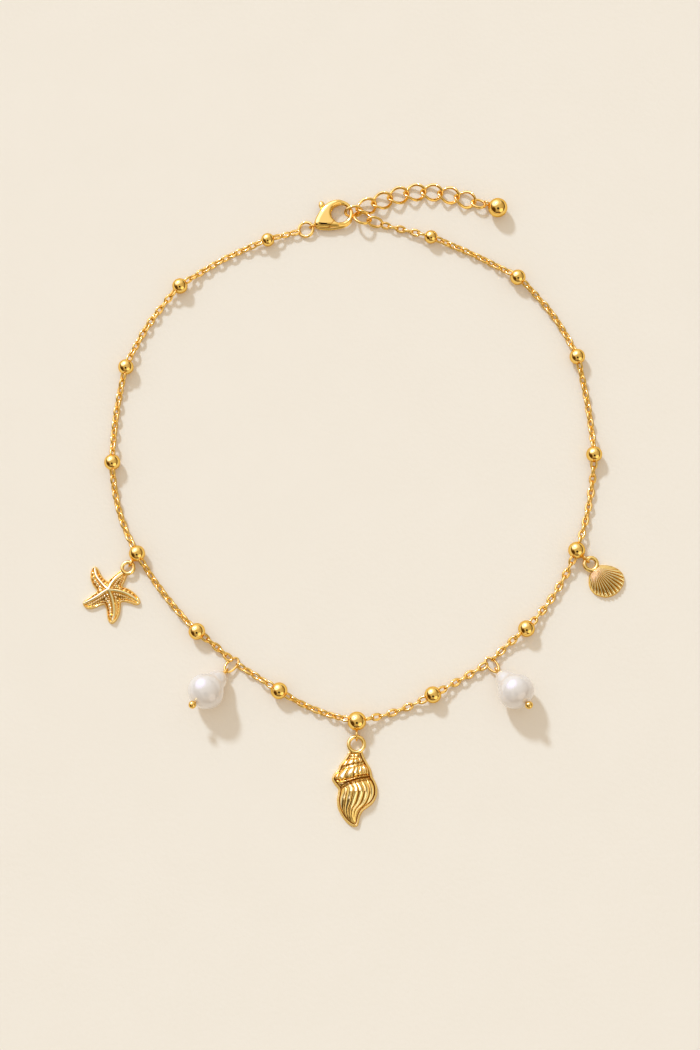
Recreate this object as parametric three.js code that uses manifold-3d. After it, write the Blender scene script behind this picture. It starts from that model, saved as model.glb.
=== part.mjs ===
// A fine cable-chain necklace lying on a flat surface: fifteen round station beads, a conch,
// a starfish and a scallop charm, two drop pearls, a lobster clasp and an extender chain.
// Millimetres, +Z up. The origin is under the middle of the whole, on the surface; +Y runs
// from the conch charm to the clasp.
import * as THREE from 'three';
import * as BufferGeometryUtils from 'three/addons/utils/BufferGeometryUtils.js';
import Module from 'manifold-3d';

const wasm = await Module();
wasm.setup();

// ---- driving dimensions -------------------------------------------------------------------
const GAP = 0.3; // clearance between pieces that hold each other

// The cable chain is built as one round tube of its links' width.
const chain = {
  radius: 0.85,
  sides: 8,
  stepLength: 4.4,
  lie: 0.9, // height of its axis on the surface
  rise: 6, // length over which it climbs to a bead's hole
};

// The stations along the loop, from the ring behind the clasp round to the chain's other end.
// x, y: centre; size: diameter; bow: how far the chain after it swings outward of straight.
const stations = [
  { name: 'start', x: -14.5, y: 70.5, size: 0, bow: 0.1 },
  { name: 'bead_left_1', x: -22.4, y: 68.0, size: 3.5, bow: 1.2 },
  { name: 'bead_left_2', x: -45.2, y: 55.2, size: 4.0, bow: 1.5 },
  { name: 'bead_left_3', x: -58.8, y: 33.2, size: 4.0, bow: 0.9 },
  { name: 'bead_left_4', x: -61.7, y: 7.8, size: 4.1, bow: 1.6 },
  { name: 'bead_left_5', x: -54.8, y: -16.0, size: 4.1, bow: 0.8 },
  { name: 'bead_left_6', x: -39.3, y: -36.0, size: 4.2, bow: -0.2 },
  { name: 'pearl_ring_left', x: -30.01, y: -43.69, size: 2.9, bow: -0.1 },
  { name: 'bead_left_7', x: -18.5, y: -51.0, size: 4.2, bow: 1.0 },
  { name: 'bead_centre', x: 0.9, y: -58.6, size: 4.7, bow: 0.8 },
  { name: 'bead_right_7', x: 19.9, y: -52.0, size: 4.2, bow: 0.1 },
  { name: 'pearl_ring_right', x: 34.34, y: -43.65, size: 2.9, bow: -0.2 },
  { name: 'bead_right_6', x: 43.6, y: -35.3, size: 4.2, bow: 1.2 },
  { name: 'bead_right_5', x: 56.7, y: -15.2, size: 4.3, bow: 1.1 },
  { name: 'bead_right_4', x: 61.8, y: 9.9, size: 4.1, bow: 0.7 },
  { name: 'bead_right_3', x: 58.1, y: 36.0, size: 4.0, bow: 1.7 },
  { name: 'bead_right_2', x: 43.1, y: 57.6, size: 4.0, bow: 0.8 },
  { name: 'bead_right_1', x: 20.5, y: 68.8, size: 3.5, bow: 0.2 },
  { name: 'finish', x: 8.0, y: 72.4, size: 0, bow: 0 },
];

// A round bead has a small flat at each of the chain's two holes.
const roundBead = { flat: 0.55, arcSteps: 8, sides: 14 };

const ringLie = 1.3; // height of a flat ring whose neighbours pass under it
const ringClear = 0.05; // the play of a ring that leans on what it holds
const pearlRing = { length: 5.1, width: 2.95, wire: 0.6, hang: 0.85 }; // hang: chain to middle

// The charms hang by an eye in their own plane. A loop soldered upright under the bead
// passes through it. eyeX, eyeY: the eye's centre; outer, hole: its diameters.
const charmEyes = {
  starfish: { bead: 'bead_left_5', eyeX: -57.1, eyeY: -19.6, outer: 3.8, hole: 2.2 },
  conch: { bead: 'bead_centre', eyeX: 0.8, eyeY: -64.3, outer: 4.8, hole: 2.9 },
  scallop: { bead: 'bead_right_5', eyeX: 60.3, eyeY: -18.6, outer: 4.2, hole: 2.2 },
};
const eyeLow = 0.9;
const eyeHigh = 1.7;
const beadLoop = { wire: 0.5, halfHeight: 1.0, intoBead: 0.35, pastEye: 0.4 };

// The starfish: its outline, anticlockwise, and the line that each arm's ridge follows.
const starfish = { x: -61.82, y: -25.27, edge: 0.7, ridge: 2.3, ridgeFall: 0.7, slope: 0.8 };
const starOutline = [
  [-63.16, -22.14], [-64, -21.1], [-64.88, -19.43], [-65.63, -19.04], [-66.2, -19.35],
  [-66.57, -20.08], [-66.73, -21.37], [-66.57, -22.65], [-66.03, -23.94], [-65.22, -24.92],
  [-65.1, -25.56], [-66.09, -26.38], [-67.08, -27.13], [-68.15, -27.92], [-68.48, -28.56],
  [-68.18, -29.28], [-67.51, -29.82], [-66.49, -30], [-65.24, -29.69], [-64.24, -29.23],
  [-63.11, -28.92], [-62.72, -29.46], [-62.3, -31.12], [-62.14, -32.28], [-61.79, -33.25],
  [-61.19, -33.73], [-60.59, -33.68], [-59.85, -32.99], [-59.25, -31.89], [-58.97, -30.87],
  [-58.82, -29.59], [-58.75, -28.31], [-57.69, -28.21], [-56.42, -28.51], [-55.15, -28.97],
  [-54.26, -28.87], [-53.9, -28.31], [-54.04, -27.54], [-54.83, -26.38], [-55.86, -25.48],
  [-57.14, -24.66], [-58.34, -24.25], [-58.31, -23.68], [-57.83, -22.65], [-57.47, -21.49],
  [-57.6, -20.8], [-58.25, -20], [-59.28, -20.2], [-60.4, -21.11], [-61.64, -22.14],
  [-62.26, -22.78],
];
const starRidges = [
  [[-60.75, -23.0], [-59.89, -21.97], [-58.4, -20.8]],
  [[-63.91, -23.2], [-65.12, -21.4], [-65.45, -19.65]],
  [[-63.45, -26.16], [-65.44, -27.41], [-67.98, -28.62]],
  [[-60.95, -27.18], [-60.38, -29.74], [-60.8, -33.31]],
  [[-58.92, -25.64], [-56.37, -26.67], [-54.13, -28.33]],
];

// The scallop: its middle, its hinge and its outline, anticlockwise.
const scallop = {
  x: 64.3, y: -22.9, hingeX: 61.2, hingeY: -19.5, edge: 0.6, crown: 2.2, neck: 1.4, neckLength: 2.7,
};
const scallopOutline = [
  [60.89, -19.75], [60.52, -20.19], [60.2, -20.83], [59.9, -21.73], [59.78, -22.64],
  [59.8, -23.67], [60.01, -24.52], [60.44, -25.34], [61.11, -26.06], [61.98, -26.57],
  [62.86, -26.85], [63.74, -27.03], [64.75, -26.96], [65.77, -26.62], [66.68, -26.11],
  [67.45, -25.42], [68.11, -24.57], [68.54, -23.79], [68.77, -22.89], [68.8, -21.99],
  [68.54, -21.09], [67.98, -20.34], [67.24, -19.69], [66.24, -19.18], [64.98, -18.82],
  [63.71, -18.71], [62.31, -18.76], [61.54, -19.15],
];

// The conch: its middle and its outline, anticlockwise.
const conch = {
  x: 0.5, y: -75.0, edge: 0.9, crown: 4.2, topY: -65.8, tipY: -84.6, neck: 1.4, neckLength: 1.7,
  crownStart: 0.25, crownSpan: 0.6, // which part of a sine's arch its back follows
};
const conchOutline = [
  [-0.92, -65.91], [-1.54, -66.9], [-2.16, -67.77], [-2.91, -68.64], [-3.4, -69.38],
  [-3.77, -70.37], [-4.52, -71.11], [-5.09, -71.98], [-5.31, -72.84], [-4.94, -73.7],
  [-4.26, -74.57], [-3.72, -75.31], [-3.77, -76.29], [-4.01, -77.52], [-3.99, -78.75],
  [-3.81, -79.98], [-3.27, -81.2], [-2.52, -82.43], [-1.66, -83.41], [-0.79, -84.14],
  [0.32, -84.58], [1.06, -84.31], [1.41, -83.41], [1.6, -82.43], [2, -81.33],
  [2.67, -80.47], [3.66, -79.78], [4.65, -79], [5.4, -78.01], [5.9, -76.78],
  [6, -75.55], [5.83, -74.32], [5.34, -73.09], [4.74, -72.1], [4.52, -70.86],
  [4.18, -69.87], [3.68, -69.01], [3.26, -68.26], [2.76, -67.4], [2.44, -66.53],
  [1.95, -65.78],
];

// A drop pearl from its round end to its neck: distance from the belly's middle, and radius.
const pearlRows = [
  { along: -4.4, radius: 1.6 },
  { along: -3.6, radius: 2.9 },
  { along: -2.2, radius: 4.0 },
  { along: 0.0, radius: 4.6 },
  { along: 1.8, radius: 4.2 },
  { along: 3.6, radius: 3.1 },
  { along: 5.0, radius: 2.3 },
  { along: 6.2, radius: 1.8 },
];
const pearlBore = 0.55;
const pin = { wire: 0.5, ball: 0.95, ballSeat: 0.8, loopOuter: 2.1 };
const pearls = [
  { side: 'left', x: -36.5, y: -51.3, ring: 'pearl_ring_left' },
  { side: 'right', x: 40.9, y: -51.2, ring: 'pearl_ring_right' },
];
const pearlLoopReach = 7.65; // from the belly's middle to the middle of the pin's loop

// Round and oval rings: centre; length and width outside; wire; heading, roll and pitch in
// degrees, turned about Z, then about the ring's cross axis, then about its long axis.
const claspRings = [
  { name: 'jump_ring_left', x: -12.4, y: 71.2, z: 0.79, length: 4.5, width: 4.5, wire: 0.6,
    heading: 25, roll: 0, pitch: 12.5 },
  { name: 'clasp_link', x: 0.15, y: 75.92, z: 1.58, length: 5.06, width: 3.56, wire: 0.56,
    heading: 7.3, roll: 43.8, pitch: 9.2 },
  { name: 'jump_ring_right', x: 2.5, y: 74.05, z: 1.86, length: 5.16, width: 5.16, wire: 0.56,
    heading: 0, roll: -31, pitch: -13.2 },
  { name: 'end_link', x: 5.78, y: 73.05, z: 1.49, length: 4.66, width: 3.16, wire: 0.56,
    heading: -15, roll: 40.6, pitch: -8.3 },
];

// The extender: twisted oval links one after another, with the way that each one heads.
const extender = {
  x: 3.54, y: 77.24, z: 0.98, pitch: 4.5, headings: [26.5, 20.5, 17, 6.5, -5, -14, -17],
  length: 5.8, width: 4.35, wire: 0.58, twist: 45,
};
const firstLinkLift = { z: 1.6, roll: -8, pitch: -13.5 }; // it lies on the clasp's link
const extenderEnd = {
  length: 4.3, width: 3.2, wire: 0.56, z: 1.22, roll: -42, pitch: 3, reach: 3.72, heading: -20,
};
const endBall = { radius: 2.45, loopOuter: 2.3, wire: 0.5, loopAt: 3.3, loopZ: 1.35 };

// The clasp, from the middle of its hook's hole. hookLow, hookHigh: the hook's underside and
// top, where a link passes round it. The lever turns about the pivot, which is a pin.
const clasp = {
  x: -3.3, y: 75.4, thick: 2.4, hole: 2.4, hookLow: 0.86, hookHigh: 1.86,
  slopeFrom: -1.3, slopeTo: 1.2, hookEnd: 4.5, // where the hook thins, and past its far side
  eyeX: -7.3, eyeY: -3.4, eyeOuter: 2.2, eyeWire: 0.45, eyeHeading: 25,
};
const lever = {
  x: -3.9, y: -1.6, pin: 0.32, pinInset: 0.3, bore: 0.48, hub: 0.95,
  armLow: 0.85, armHigh: 1.65, armInGate: 0.5, armAngle: -28,
  tabAngle: 104.5, tabReach: 4.8, tabWidth: 1.15, tabCorner: 0.35,
};

// The gate follows the hook's ring, between two radii about the hook and two about the pivot.
const gate = {
  inner: 2.5, outer: 3.5, ringLow: 200, ringHigh: 280,
  from: 2.15, to: 3.62, low: -60, high: 10, under: 0.7, top: 2.0,
};

// Room for the lever in the body, as slices about its pivot between two angles.
const slots = { low: 0.65, high: 1.85, hubClear: 0.2, tabClear: 0.15 };
const mouth = { from: 2.02, to: 3.77, low: -75, high: 38 };
const armSlot = { from: 0, to: 2.3, low: -75, high: 38 };
const tabSlot = { from: 0, to: 6.5, low: 104.5, high: 130 };
const springSlot = { from: 0, to: 2.6, low: 205, high: 262 };
const claspOutline = [
  { x: -6.9, y: -2.6 },
  { x: -6.3, y: -1.0 },
  { x: -5.5, y: 0.6 },
  { x: -4.4, y: 1.9 },
  { x: -3.3, y: 2.8 },
  { x: -2.2, y: 3.35 },
  { x: -0.7, y: 3.65 },
  { x: 0.8, y: 3.35 },
  { x: 2.1, y: 2.5 },
  { x: 3.0, y: 1.0 },
  { x: 3.3, y: -0.6 },
  { x: 2.8, y: -2.15 },
  { x: 1.4, y: -3.3 },
  { x: -0.2, y: -3.75 },
  { x: -2.2, y: -3.7 },
  { x: -4.4, y: -3.6 },
  { x: -6.5, y: -3.4 },
];

// ---- materials ----------------------------------------------------------------------------
const finishes = {
  gold: { color: 0xe9b64f, roughness: 0.18, metalness: 1 },
  castGold: { color: 0xe6ad45, roughness: 0.26, metalness: 1 },
  pearl: { color: 0xf3eeee, roughness: 0.22, metalness: 0 },
};

// ---- helpers ------------------------------------------------------------------------------
const necklace = new THREE.Group();
const rad = THREE.MathUtils.degToRad;

function addPiece(name, geometry, finish = finishes.gold) {
  const mesh = new THREE.Mesh(geometry, new THREE.MeshStandardMaterial(finish));
  mesh.name = name;
  necklace.add(mesh);
  return mesh;
}

function toSolid(geometry) {
  const bare = geometry.clone();
  bare.deleteAttribute('normal');
  bare.deleteAttribute('uv');
  const merged = BufferGeometryUtils.mergeVertices(bare, 1e-4);
  return new wasm.Manifold(new wasm.Mesh({
    numProp: 3,
    vertProperties: new Float32Array(merged.attributes.position.array),
    triVerts: new Uint32Array(merged.index.array),
  }));
}

function toGeometry(solid) {
  const mesh = solid.getMesh();
  const geometry = new THREE.BufferGeometry();
  geometry.setAttribute('position', new THREE.BufferAttribute(mesh.vertProperties, 3));
  geometry.setIndex(new THREE.BufferAttribute(mesh.triVerts, 1));
  geometry.computeVertexNormals();
  return geometry;
}

const solidUnion = (geometries) => geometries.map(toSolid).reduce((a, b) => a.add(b));

function cutAway(solid, geometries) {
  return geometries.map(toSolid).reduce((rest, tool) => rest.subtract(tool), solid);
}

// A plane shape raised from one height to another.
function slab(shape, low, high, curveSegments = 12) {
  const settings = { depth: high - low, bevelEnabled: false, curveSegments };
  return new THREE.ExtrudeGeometry(shape, settings).translate(0, 0, low);
}

// A ring in the XY plane whose centre line is an ellipse of the given outer length and width.
// The twist turns its two ends about its long axis, one each way.
function ring({ length, width, wire, twist = 0 }, steps = 16, sides = 6) {
  const middle = (width - wire) / 2;
  const stretch = (length - width) / 2;
  const geometry = new THREE.TorusGeometry(middle, wire / 2, sides, steps);
  const position = geometry.attributes.position;
  const point = new THREE.Vector3();
  const long = new THREE.Vector3(1, 0, 0);
  for (let i = 0; i < position.count; i += 1) {
    point.fromBufferAttribute(position, i);
    const along = Math.cos(Math.atan2(point.y, point.x));
    point.x += stretch * along;
    point.applyAxisAngle(long, rad(twist) * along);
    position.setXYZ(i, point.x, point.y, point.z);
  }
  return geometry;
}

// Turns a ring upright, its long side along the heading, and puts it at a point.
function uprightRing(size, heading, x, y, z) {
  return ring(size, 14, 6).rotateX(Math.PI / 2).rotateZ(rad(heading)).translate(x, y, z);
}

function placeRing(mesh, { x, y, z, heading, roll = 0, pitch = 0 }) {
  mesh.rotation.set(rad(roll), rad(-pitch), rad(heading), 'ZYX');
  mesh.position.set(x, y, z);
}

// A low relief standing on the surface: rings from its middle out to its outline, at the
// height that heightAt gives for a point and its share of the way to the edge.
function relief(outline, middle, heightAt, shares = [0.35, 0.7, 1]) {
  const count = outline.length;
  const positions = [middle.x, middle.y, heightAt(middle, 0)];
  for (const share of shares) {
    for (const edge of outline) {
      const point = middle.clone().lerp(edge, share);
      positions.push(point.x, point.y, heightAt(point, share));
    }
  }
  for (const edge of outline) positions.push(edge.x, edge.y, 0);
  const centreBelow = positions.length / 3;
  positions.push(middle.x, middle.y, 0);
  const faces = [];
  for (let i = 0; i < count; i += 1) {
    const next = (i + 1) % count;
    faces.push(0, 1 + i, 1 + next);
    for (let level = 0; level < shares.length; level += 1) {
      const inner = 1 + level * count;
      const outer = inner + count;
      faces.push(inner + i, outer + i, outer + next, inner + i, outer + next, inner + next);
    }
    const base = 1 + shares.length * count;
    faces.push(base + i, centreBelow, base + next);
  }
  const geometry = new THREE.BufferGeometry();
  geometry.setAttribute('position', new THREE.Float32BufferAttribute(positions, 3));
  geometry.setIndex(faces);
  geometry.computeVertexNormals();
  return geometry;
}

// ---- station beads and chain --------------------------------------------------------------
const station = (name) => stations.find((row) => row.name === name);
const isBead = (row) => row.name.startsWith('bead');
const restHeight = (row) => (isBead(row) ? row.size / 2 : chain.lie);

// The heading of the chain as it passes a station.
function passingHeading(index) {
  const before = stations[Math.max(index - 1, 0)];
  const after = stations[Math.min(index + 1, stations.length - 1)];
  return Math.atan2(after.y - before.y, after.x - before.x);
}

// A bead with a small flat round each of the chain's two holes.
function beadGeometry(size, heading) {
  const radius = size / 2;
  const { flat, arcSteps, sides } = roundBead;
  const start = Math.asin(flat / radius);
  const profile = [new THREE.Vector2(0, -radius * Math.cos(start))];
  for (let i = 0; i <= arcSteps; i += 1) {
    const angle = start + ((Math.PI - 2 * start) * i) / arcSteps;
    profile.push(new THREE.Vector2(radius * Math.sin(angle), -radius * Math.cos(angle)));
  }
  profile.push(new THREE.Vector2(0, radius * Math.cos(start)));
  return new THREE.LatheGeometry(profile, sides).rotateZ(heading - Math.PI / 2);
}

// The upright loop under a charm's bead, reaching through the charm's eye.
function beadLoopGeometry(row, eye) {
  const reach = Math.hypot(eye.eyeX - row.x, eye.eyeY - row.y);
  const near = row.size / 2 - beadLoop.intoBead;
  const far = reach - eye.hole / 2 + beadLoop.pastEye;
  const heading = Math.atan2(eye.eyeY - row.y, eye.eyeX - row.x);
  const middle = (near + far) / 2;
  const size = {
    length: far - near + beadLoop.wire,
    width: 2 * beadLoop.halfHeight + beadLoop.wire,
    wire: beadLoop.wire,
  };
  return uprightRing(
    size, THREE.MathUtils.radToDeg(heading),
    row.x + middle * Math.cos(heading), row.y + middle * Math.sin(heading),
    (eyeLow + eyeHigh) / 2,
  );
}

stations.forEach((row, index) => {
  if (!isBead(row)) return;
  const eye = Object.values(charmEyes).find((item) => item.bead === row.name);
  const bead = beadGeometry(row.size, passingHeading(index));
  bead.translate(row.x, row.y, row.size / 2);
  const geometry = eye ? toGeometry(solidUnion([bead, beadLoopGeometry(row, eye)])) : bead;
  addPiece(row.name, geometry);
});

// A span of chain runs from one station to the next, bowed outward, and climbs to the beads.
function spanPoints(from, to) {
  const start = new THREE.Vector2(from.x, from.y);
  const end = new THREE.Vector2(to.x, to.y);
  const length = start.distanceTo(end);
  const outward = new THREE.Vector2(end.y - start.y, start.x - end.x).normalize();
  const first = from.size / 2 + GAP;
  const last = length - to.size / 2 - GAP;
  const steps = Math.max(2, Math.round((last - first) / chain.stepLength));
  const climb = (row, distance) => {
    const share = THREE.MathUtils.clamp(1 - (distance - row.size / 2) / chain.rise, 0, 1);
    return (restHeight(row) - chain.lie) * share * share;
  };
  const points = [];
  for (let i = 0; i <= steps; i += 1) {
    const distance = first + ((last - first) * i) / steps;
    const share = distance / length;
    const swing = 4 * from.bow * share * (1 - share);
    const point = start.clone().lerp(end, share).addScaledVector(outward, swing);
    const height = chain.lie + climb(from, distance) + climb(to, length - distance);
    points.push(new THREE.Vector3(point.x, point.y, height));
  }
  return points;
}

function roundShape(radius, sides) {
  const corners = [];
  for (let i = 0; i < sides; i += 1) {
    const angle = (2 * Math.PI * i) / sides;
    corners.push(new THREE.Vector2(radius * Math.cos(angle), radius * Math.sin(angle)));
  }
  return new THREE.Shape(corners);
}

for (let i = 0; i + 1 < stations.length; i += 1) {
  const points = spanPoints(stations[i], stations[i + 1]);
  const geometry = new THREE.ExtrudeGeometry(roundShape(chain.radius, chain.sides), {
    steps: points.length - 1,
    bevelEnabled: false,
    extrudePath: new THREE.CatmullRomCurve3(points),
  });
  addPiece(`chain_${String(i + 1).padStart(2, '0')}`, geometry);
}

// ---- charms -------------------------------------------------------------------------------
function eyeGeometry({ eyeX, eyeY, outer, hole }) {
  const size = { length: outer, width: outer, wire: (outer - hole) / 2 };
  return ring(size, 16, 6).translate(eyeX, eyeY, (eyeLow + eyeHigh) / 2);
}

function addCharm(name, body, eye) {
  addPiece(name, toGeometry(solidUnion([body, eyeGeometry(eye)])), finishes.castGold);
}

const toPoint = ([x, y]) => new THREE.Vector2(x, y);

// How far a point is from the nearest of some lines.
function distanceToLines(point, lines) {
  const closest = new THREE.Vector3();
  const at = new THREE.Vector3(point.x, point.y, 0);
  const distances = lines.flatMap((line) => line.slice(1).map((end, i) => {
    const side = new THREE.Line3(
      new THREE.Vector3(line[i].x, line[i].y, 0), new THREE.Vector3(end.x, end.y, 0),
    );
    return side.closestPointToPoint(at, true, closest).distanceTo(at);
  }));
  return Math.min(...distances);
}

// The starfish: highest on the five ridges, with a valley between two arms.
function starfishGeometry() {
  const middle = new THREE.Vector2(starfish.x, starfish.y);
  const ridges = starRidges.map((ridge) => [middle, ...ridge.map(toPoint)]);
  return relief(starOutline.map(toPoint), middle, (point, share) => {
    if (share === 1) return starfish.edge;
    const top = starfish.ridge - starfish.ridgeFall * share;
    return Math.max(top - starfish.slope * distanceToLines(point, ridges), starfish.edge);
  });
}
addCharm('starfish_charm', starfishGeometry(), charmEyes.starfish);

// The scallop: highest over its middle, with a thicker neck at its hinge.
function scallopGeometry() {
  const middle = new THREE.Vector2(scallop.x, scallop.y);
  const hinge = new THREE.Vector2(scallop.hingeX, scallop.hingeY);
  return relief(scallopOutline.map(toPoint), middle, (point, share) => {
    const fromHinge = point.distanceTo(hinge) / scallop.neckLength;
    const rim = THREE.MathUtils.lerp(scallop.neck, scallop.edge, Math.min(fromHinge, 1));
    return rim + (scallop.crown - rim) * Math.sqrt(1 - share * share);
  });
}
addCharm('scallop_charm', scallopGeometry(), charmEyes.scallop);

// The conch: crown, body whorl and tip as one dome with a rim.
function conchGeometry() {
  const middle = new THREE.Vector2(conch.x, conch.y);
  return relief(conchOutline.map(toPoint), middle, (point, share) => {
    const level = (conch.topY - point.y) / (conch.topY - conch.tipY);
    const crown = conch.crown * Math.sin(Math.PI * (conch.crownStart + conch.crownSpan * level));
    const rim = point.y > conch.topY - conch.neckLength ? conch.neck : conch.edge;
    return rim + (Math.max(crown, rim) - rim) * Math.sqrt(1 - share * share);
  });
}
addCharm('conch_charm', conchGeometry(), charmEyes.conch);

// ---- pearls -------------------------------------------------------------------------------
// A drilled drop: the bore's wall inside, the pearl's own curve outside.
function pearlGeometry() {
  const profile = pearlRows.map((row) => new THREE.Vector2(row.radius, row.along));
  const last = pearlRows[pearlRows.length - 1];
  const bore = [
    new THREE.Vector2(pearlBore, last.along),
    new THREE.Vector2(pearlBore, pearlRows[0].along),
  ];
  return new THREE.LatheGeometry([...profile, ...bore, profile[0].clone()], 20);
}

function headPinGeometry() {
  const ballAt = pearlRows[0].along - GAP - pin.ball * pin.ballSeat;
  const loopNear = pearlLoopReach - pin.loopOuter / 2 + pin.wire / 2;
  const shank = new THREE.CylinderGeometry(pin.wire / 2, pin.wire / 2, loopNear - ballAt, 8);
  shank.translate(0, (loopNear + ballAt) / 2, 0);
  const ball = new THREE.SphereGeometry(pin.ball, 12, 8).translate(0, ballAt, 0);
  const size = { length: pin.loopOuter, width: pin.loopOuter, wire: pin.wire };
  const loop = ring(size, 14, 6).rotateY(Math.PI / 2).translate(0, pearlLoopReach, 0);
  return toGeometry(solidUnion([shank, ball, loop]));
}

for (const pearl of pearls) {
  const hold = station(pearl.ring);
  const toRing = new THREE.Vector2(hold.x - pearl.x, hold.y - pearl.y);
  const heading = toRing.angle();
  const belly = Math.max(...pearlRows.map((row) => row.radius));
  const dip = Math.asin((belly - ringLie) / pearlLoopReach);
  const turn = new THREE.Euler(-dip, 0, heading - Math.PI / 2, 'ZYX');
  for (const [name, geometry, finish] of [
    [`pearl_${pearl.side}`, pearlGeometry(), finishes.pearl],
    [`head_pin_${pearl.side}`, headPinGeometry(), finishes.gold],
  ]) {
    const mesh = addPiece(name, geometry, finish);
    mesh.rotation.copy(turn);
    mesh.position.set(pearl.x, pearl.y, belly);
  }
  // The ring leans on the surface at its far side, and holds the pin's loop at its near side.
  const lean = ringLie - pearlRing.wire / 2 - ringClear;
  const middle = (pearlRing.length - pearlRing.wire) / 2;
  const hang = toRing.setLength(pearlRing.hang);
  placeRing(addPiece(hold.name, ring(pearlRing)), {
    x: hold.x - hang.x, y: hold.y - hang.y, z: ringLie - lean / 2,
    heading: THREE.MathUtils.radToDeg(heading),
    pitch: -THREE.MathUtils.radToDeg(Math.asin(lean / 2 / middle)),
  });
}

// ---- rings and extender -------------------------------------------------------------------
for (const row of claspRings) placeRing(addPiece(row.name, ring(row)), row);

// The extender's links, the small link after them and the ball at its end.
function addExtender() {
  const place = new THREE.Vector2(extender.x, extender.y);
  const step = (reach, heading) => {
    place.x += reach * Math.cos(rad(heading));
    place.y += reach * Math.sin(rad(heading));
  };
  const { headings } = extender;
  headings.forEach((heading, i) => {
    if (i > 0) step(extender.pitch, (headings[i - 1] + heading) / 2);
    const link = addPiece(`extender_link_${i + 1}`, ring(extender));
    const lift = i === 0 ? firstLinkLift : { z: extender.z };
    placeRing(link, { x: place.x, y: place.y, heading, ...lift });
  });
  step(extenderEnd.reach, extenderEnd.heading);
  const smallLink = addPiece(`extender_link_${headings.length + 1}`, ring(extenderEnd));
  placeRing(smallLink, { ...extenderEnd, x: place.x, y: place.y });

  // The ball's loop holds the small link's far end; the ball lies on the surface beyond it.
  step((extenderEnd.length - extenderEnd.wire) / 2 + ringClear, extenderEnd.heading);
  const dip = Math.asin((endBall.radius - endBall.loopZ) / endBall.loopAt);
  step(endBall.loopAt * Math.cos(dip), extenderEnd.heading);
  const size = { length: endBall.loopOuter, width: endBall.loopOuter, wire: endBall.wire };
  const ball = new THREE.SphereGeometry(endBall.radius, 16, 12);
  const loop = uprightRing(size, 0, -endBall.loopAt, 0, 0);
  const mesh = addPiece('end_ball', toGeometry(solidUnion([ball, loop])));
  mesh.rotation.set(0, -dip, rad(extenderEnd.heading), 'ZYX');
  mesh.position.set(place.x, place.y, endBall.radius);
}
addExtender();

// ---- clasp --------------------------------------------------------------------------------
// A slice of a flat ring about a point, between two radii and two angles in degrees.
function sector({ x, y, from, to, low, high }) {
  const shape = new THREE.Shape();
  shape.absarc(x, y, to, rad(low), rad(high), false);
  if (from > 0) shape.absarc(x, y, from, rad(high), rad(low), true);
  else shape.lineTo(x, y);
  shape.closePath();
  return shape;
}

// A straight strip from the lever's pivot, with its far corners taken off.
function strip(angle, reach, half, corner = 0) {
  const along = new THREE.Vector2(Math.cos(rad(angle)), Math.sin(rad(angle)));
  const at = (distance, aside) => new THREE.Vector2(
    lever.x + distance * along.x - aside * along.y,
    lever.y + distance * along.y + aside * along.x,
  );
  return new THREE.Shape([
    at(0, -half), at(reach - corner, -half), at(reach, corner - half),
    at(reach, half - corner), at(reach - corner, half), at(0, half),
  ]);
}

function disc(x, y, radius) {
  return new THREE.Shape().absarc(x, y, radius, 0, 2 * Math.PI, false);
}

// A prism across the clasp (along Y) from an outline of x and height.
function across(corners) {
  const shape = new THREE.Shape(corners.map(([x, z]) => new THREE.Vector2(x, z)));
  const settings = { depth: 20, bevelEnabled: false };
  return new THREE.ExtrudeGeometry(shape, settings).rotateX(Math.PI / 2).translate(0, 10, 0);
}

function claspBodyGeometry() {
  const { thick, hole, hookLow, hookHigh, slopeFrom, slopeTo, hookEnd } = clasp;
  const outline = new THREE.Shape();
  const corners = claspOutline.map((row) => new THREE.Vector2(row.x, row.y));
  outline.moveTo(corners[0].x, corners[0].y);
  outline.splineThru(corners.slice(1));
  outline.closePath();
  const pivot = { x: lever.x, y: lever.y };
  const slot = (shape) => slab(shape, slots.low, slots.high);
  const eye = { length: clasp.eyeOuter, width: clasp.eyeOuter, wire: clasp.eyeWire };
  const shell = cutAway(toSolid(slab(outline, 0, thick, 2)), [
    slab(disc(0, 0, hole), -1, thick + 1, 12),
    slab(sector({ ...pivot, ...mouth }), -1, thick + 1, 12),
    across([
      [slopeFrom, 0], [slopeTo, hookLow], [hookEnd, hookLow], [hookEnd, -1], [slopeFrom, -1],
    ]),
    across([
      [slopeFrom, thick], [slopeFrom, thick + 1], [hookEnd, thick + 1], [hookEnd, hookHigh],
      [slopeTo, hookHigh],
    ]),
    slot(sector({ ...pivot, ...armSlot })),
    slot(sector({ ...pivot, ...tabSlot })),
    slot(strip(tabSlot.low, tabSlot.to, lever.tabWidth / 2 + slots.tabClear)),
    slot(strip(tabSlot.high, tabSlot.to, lever.tabWidth / 2 + slots.tabClear)),
    slot(sector({ ...pivot, ...springSlot })),
    slot(disc(lever.x, lever.y, lever.hub + slots.hubClear)),
  ]);
  const pinShape = disc(lever.x, lever.y, lever.pin);
  const tail = uprightRing(eye, clasp.eyeHeading, clasp.eyeX, clasp.eyeY, thick / 2);
  const pinSolid = toSolid(slab(pinShape, lever.pinInset, thick - lever.pinInset, 8));
  const body = shell.add(pinSolid).add(toSolid(tail));
  return toGeometry(body).translate(clasp.x, clasp.y, 0);
}

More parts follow.
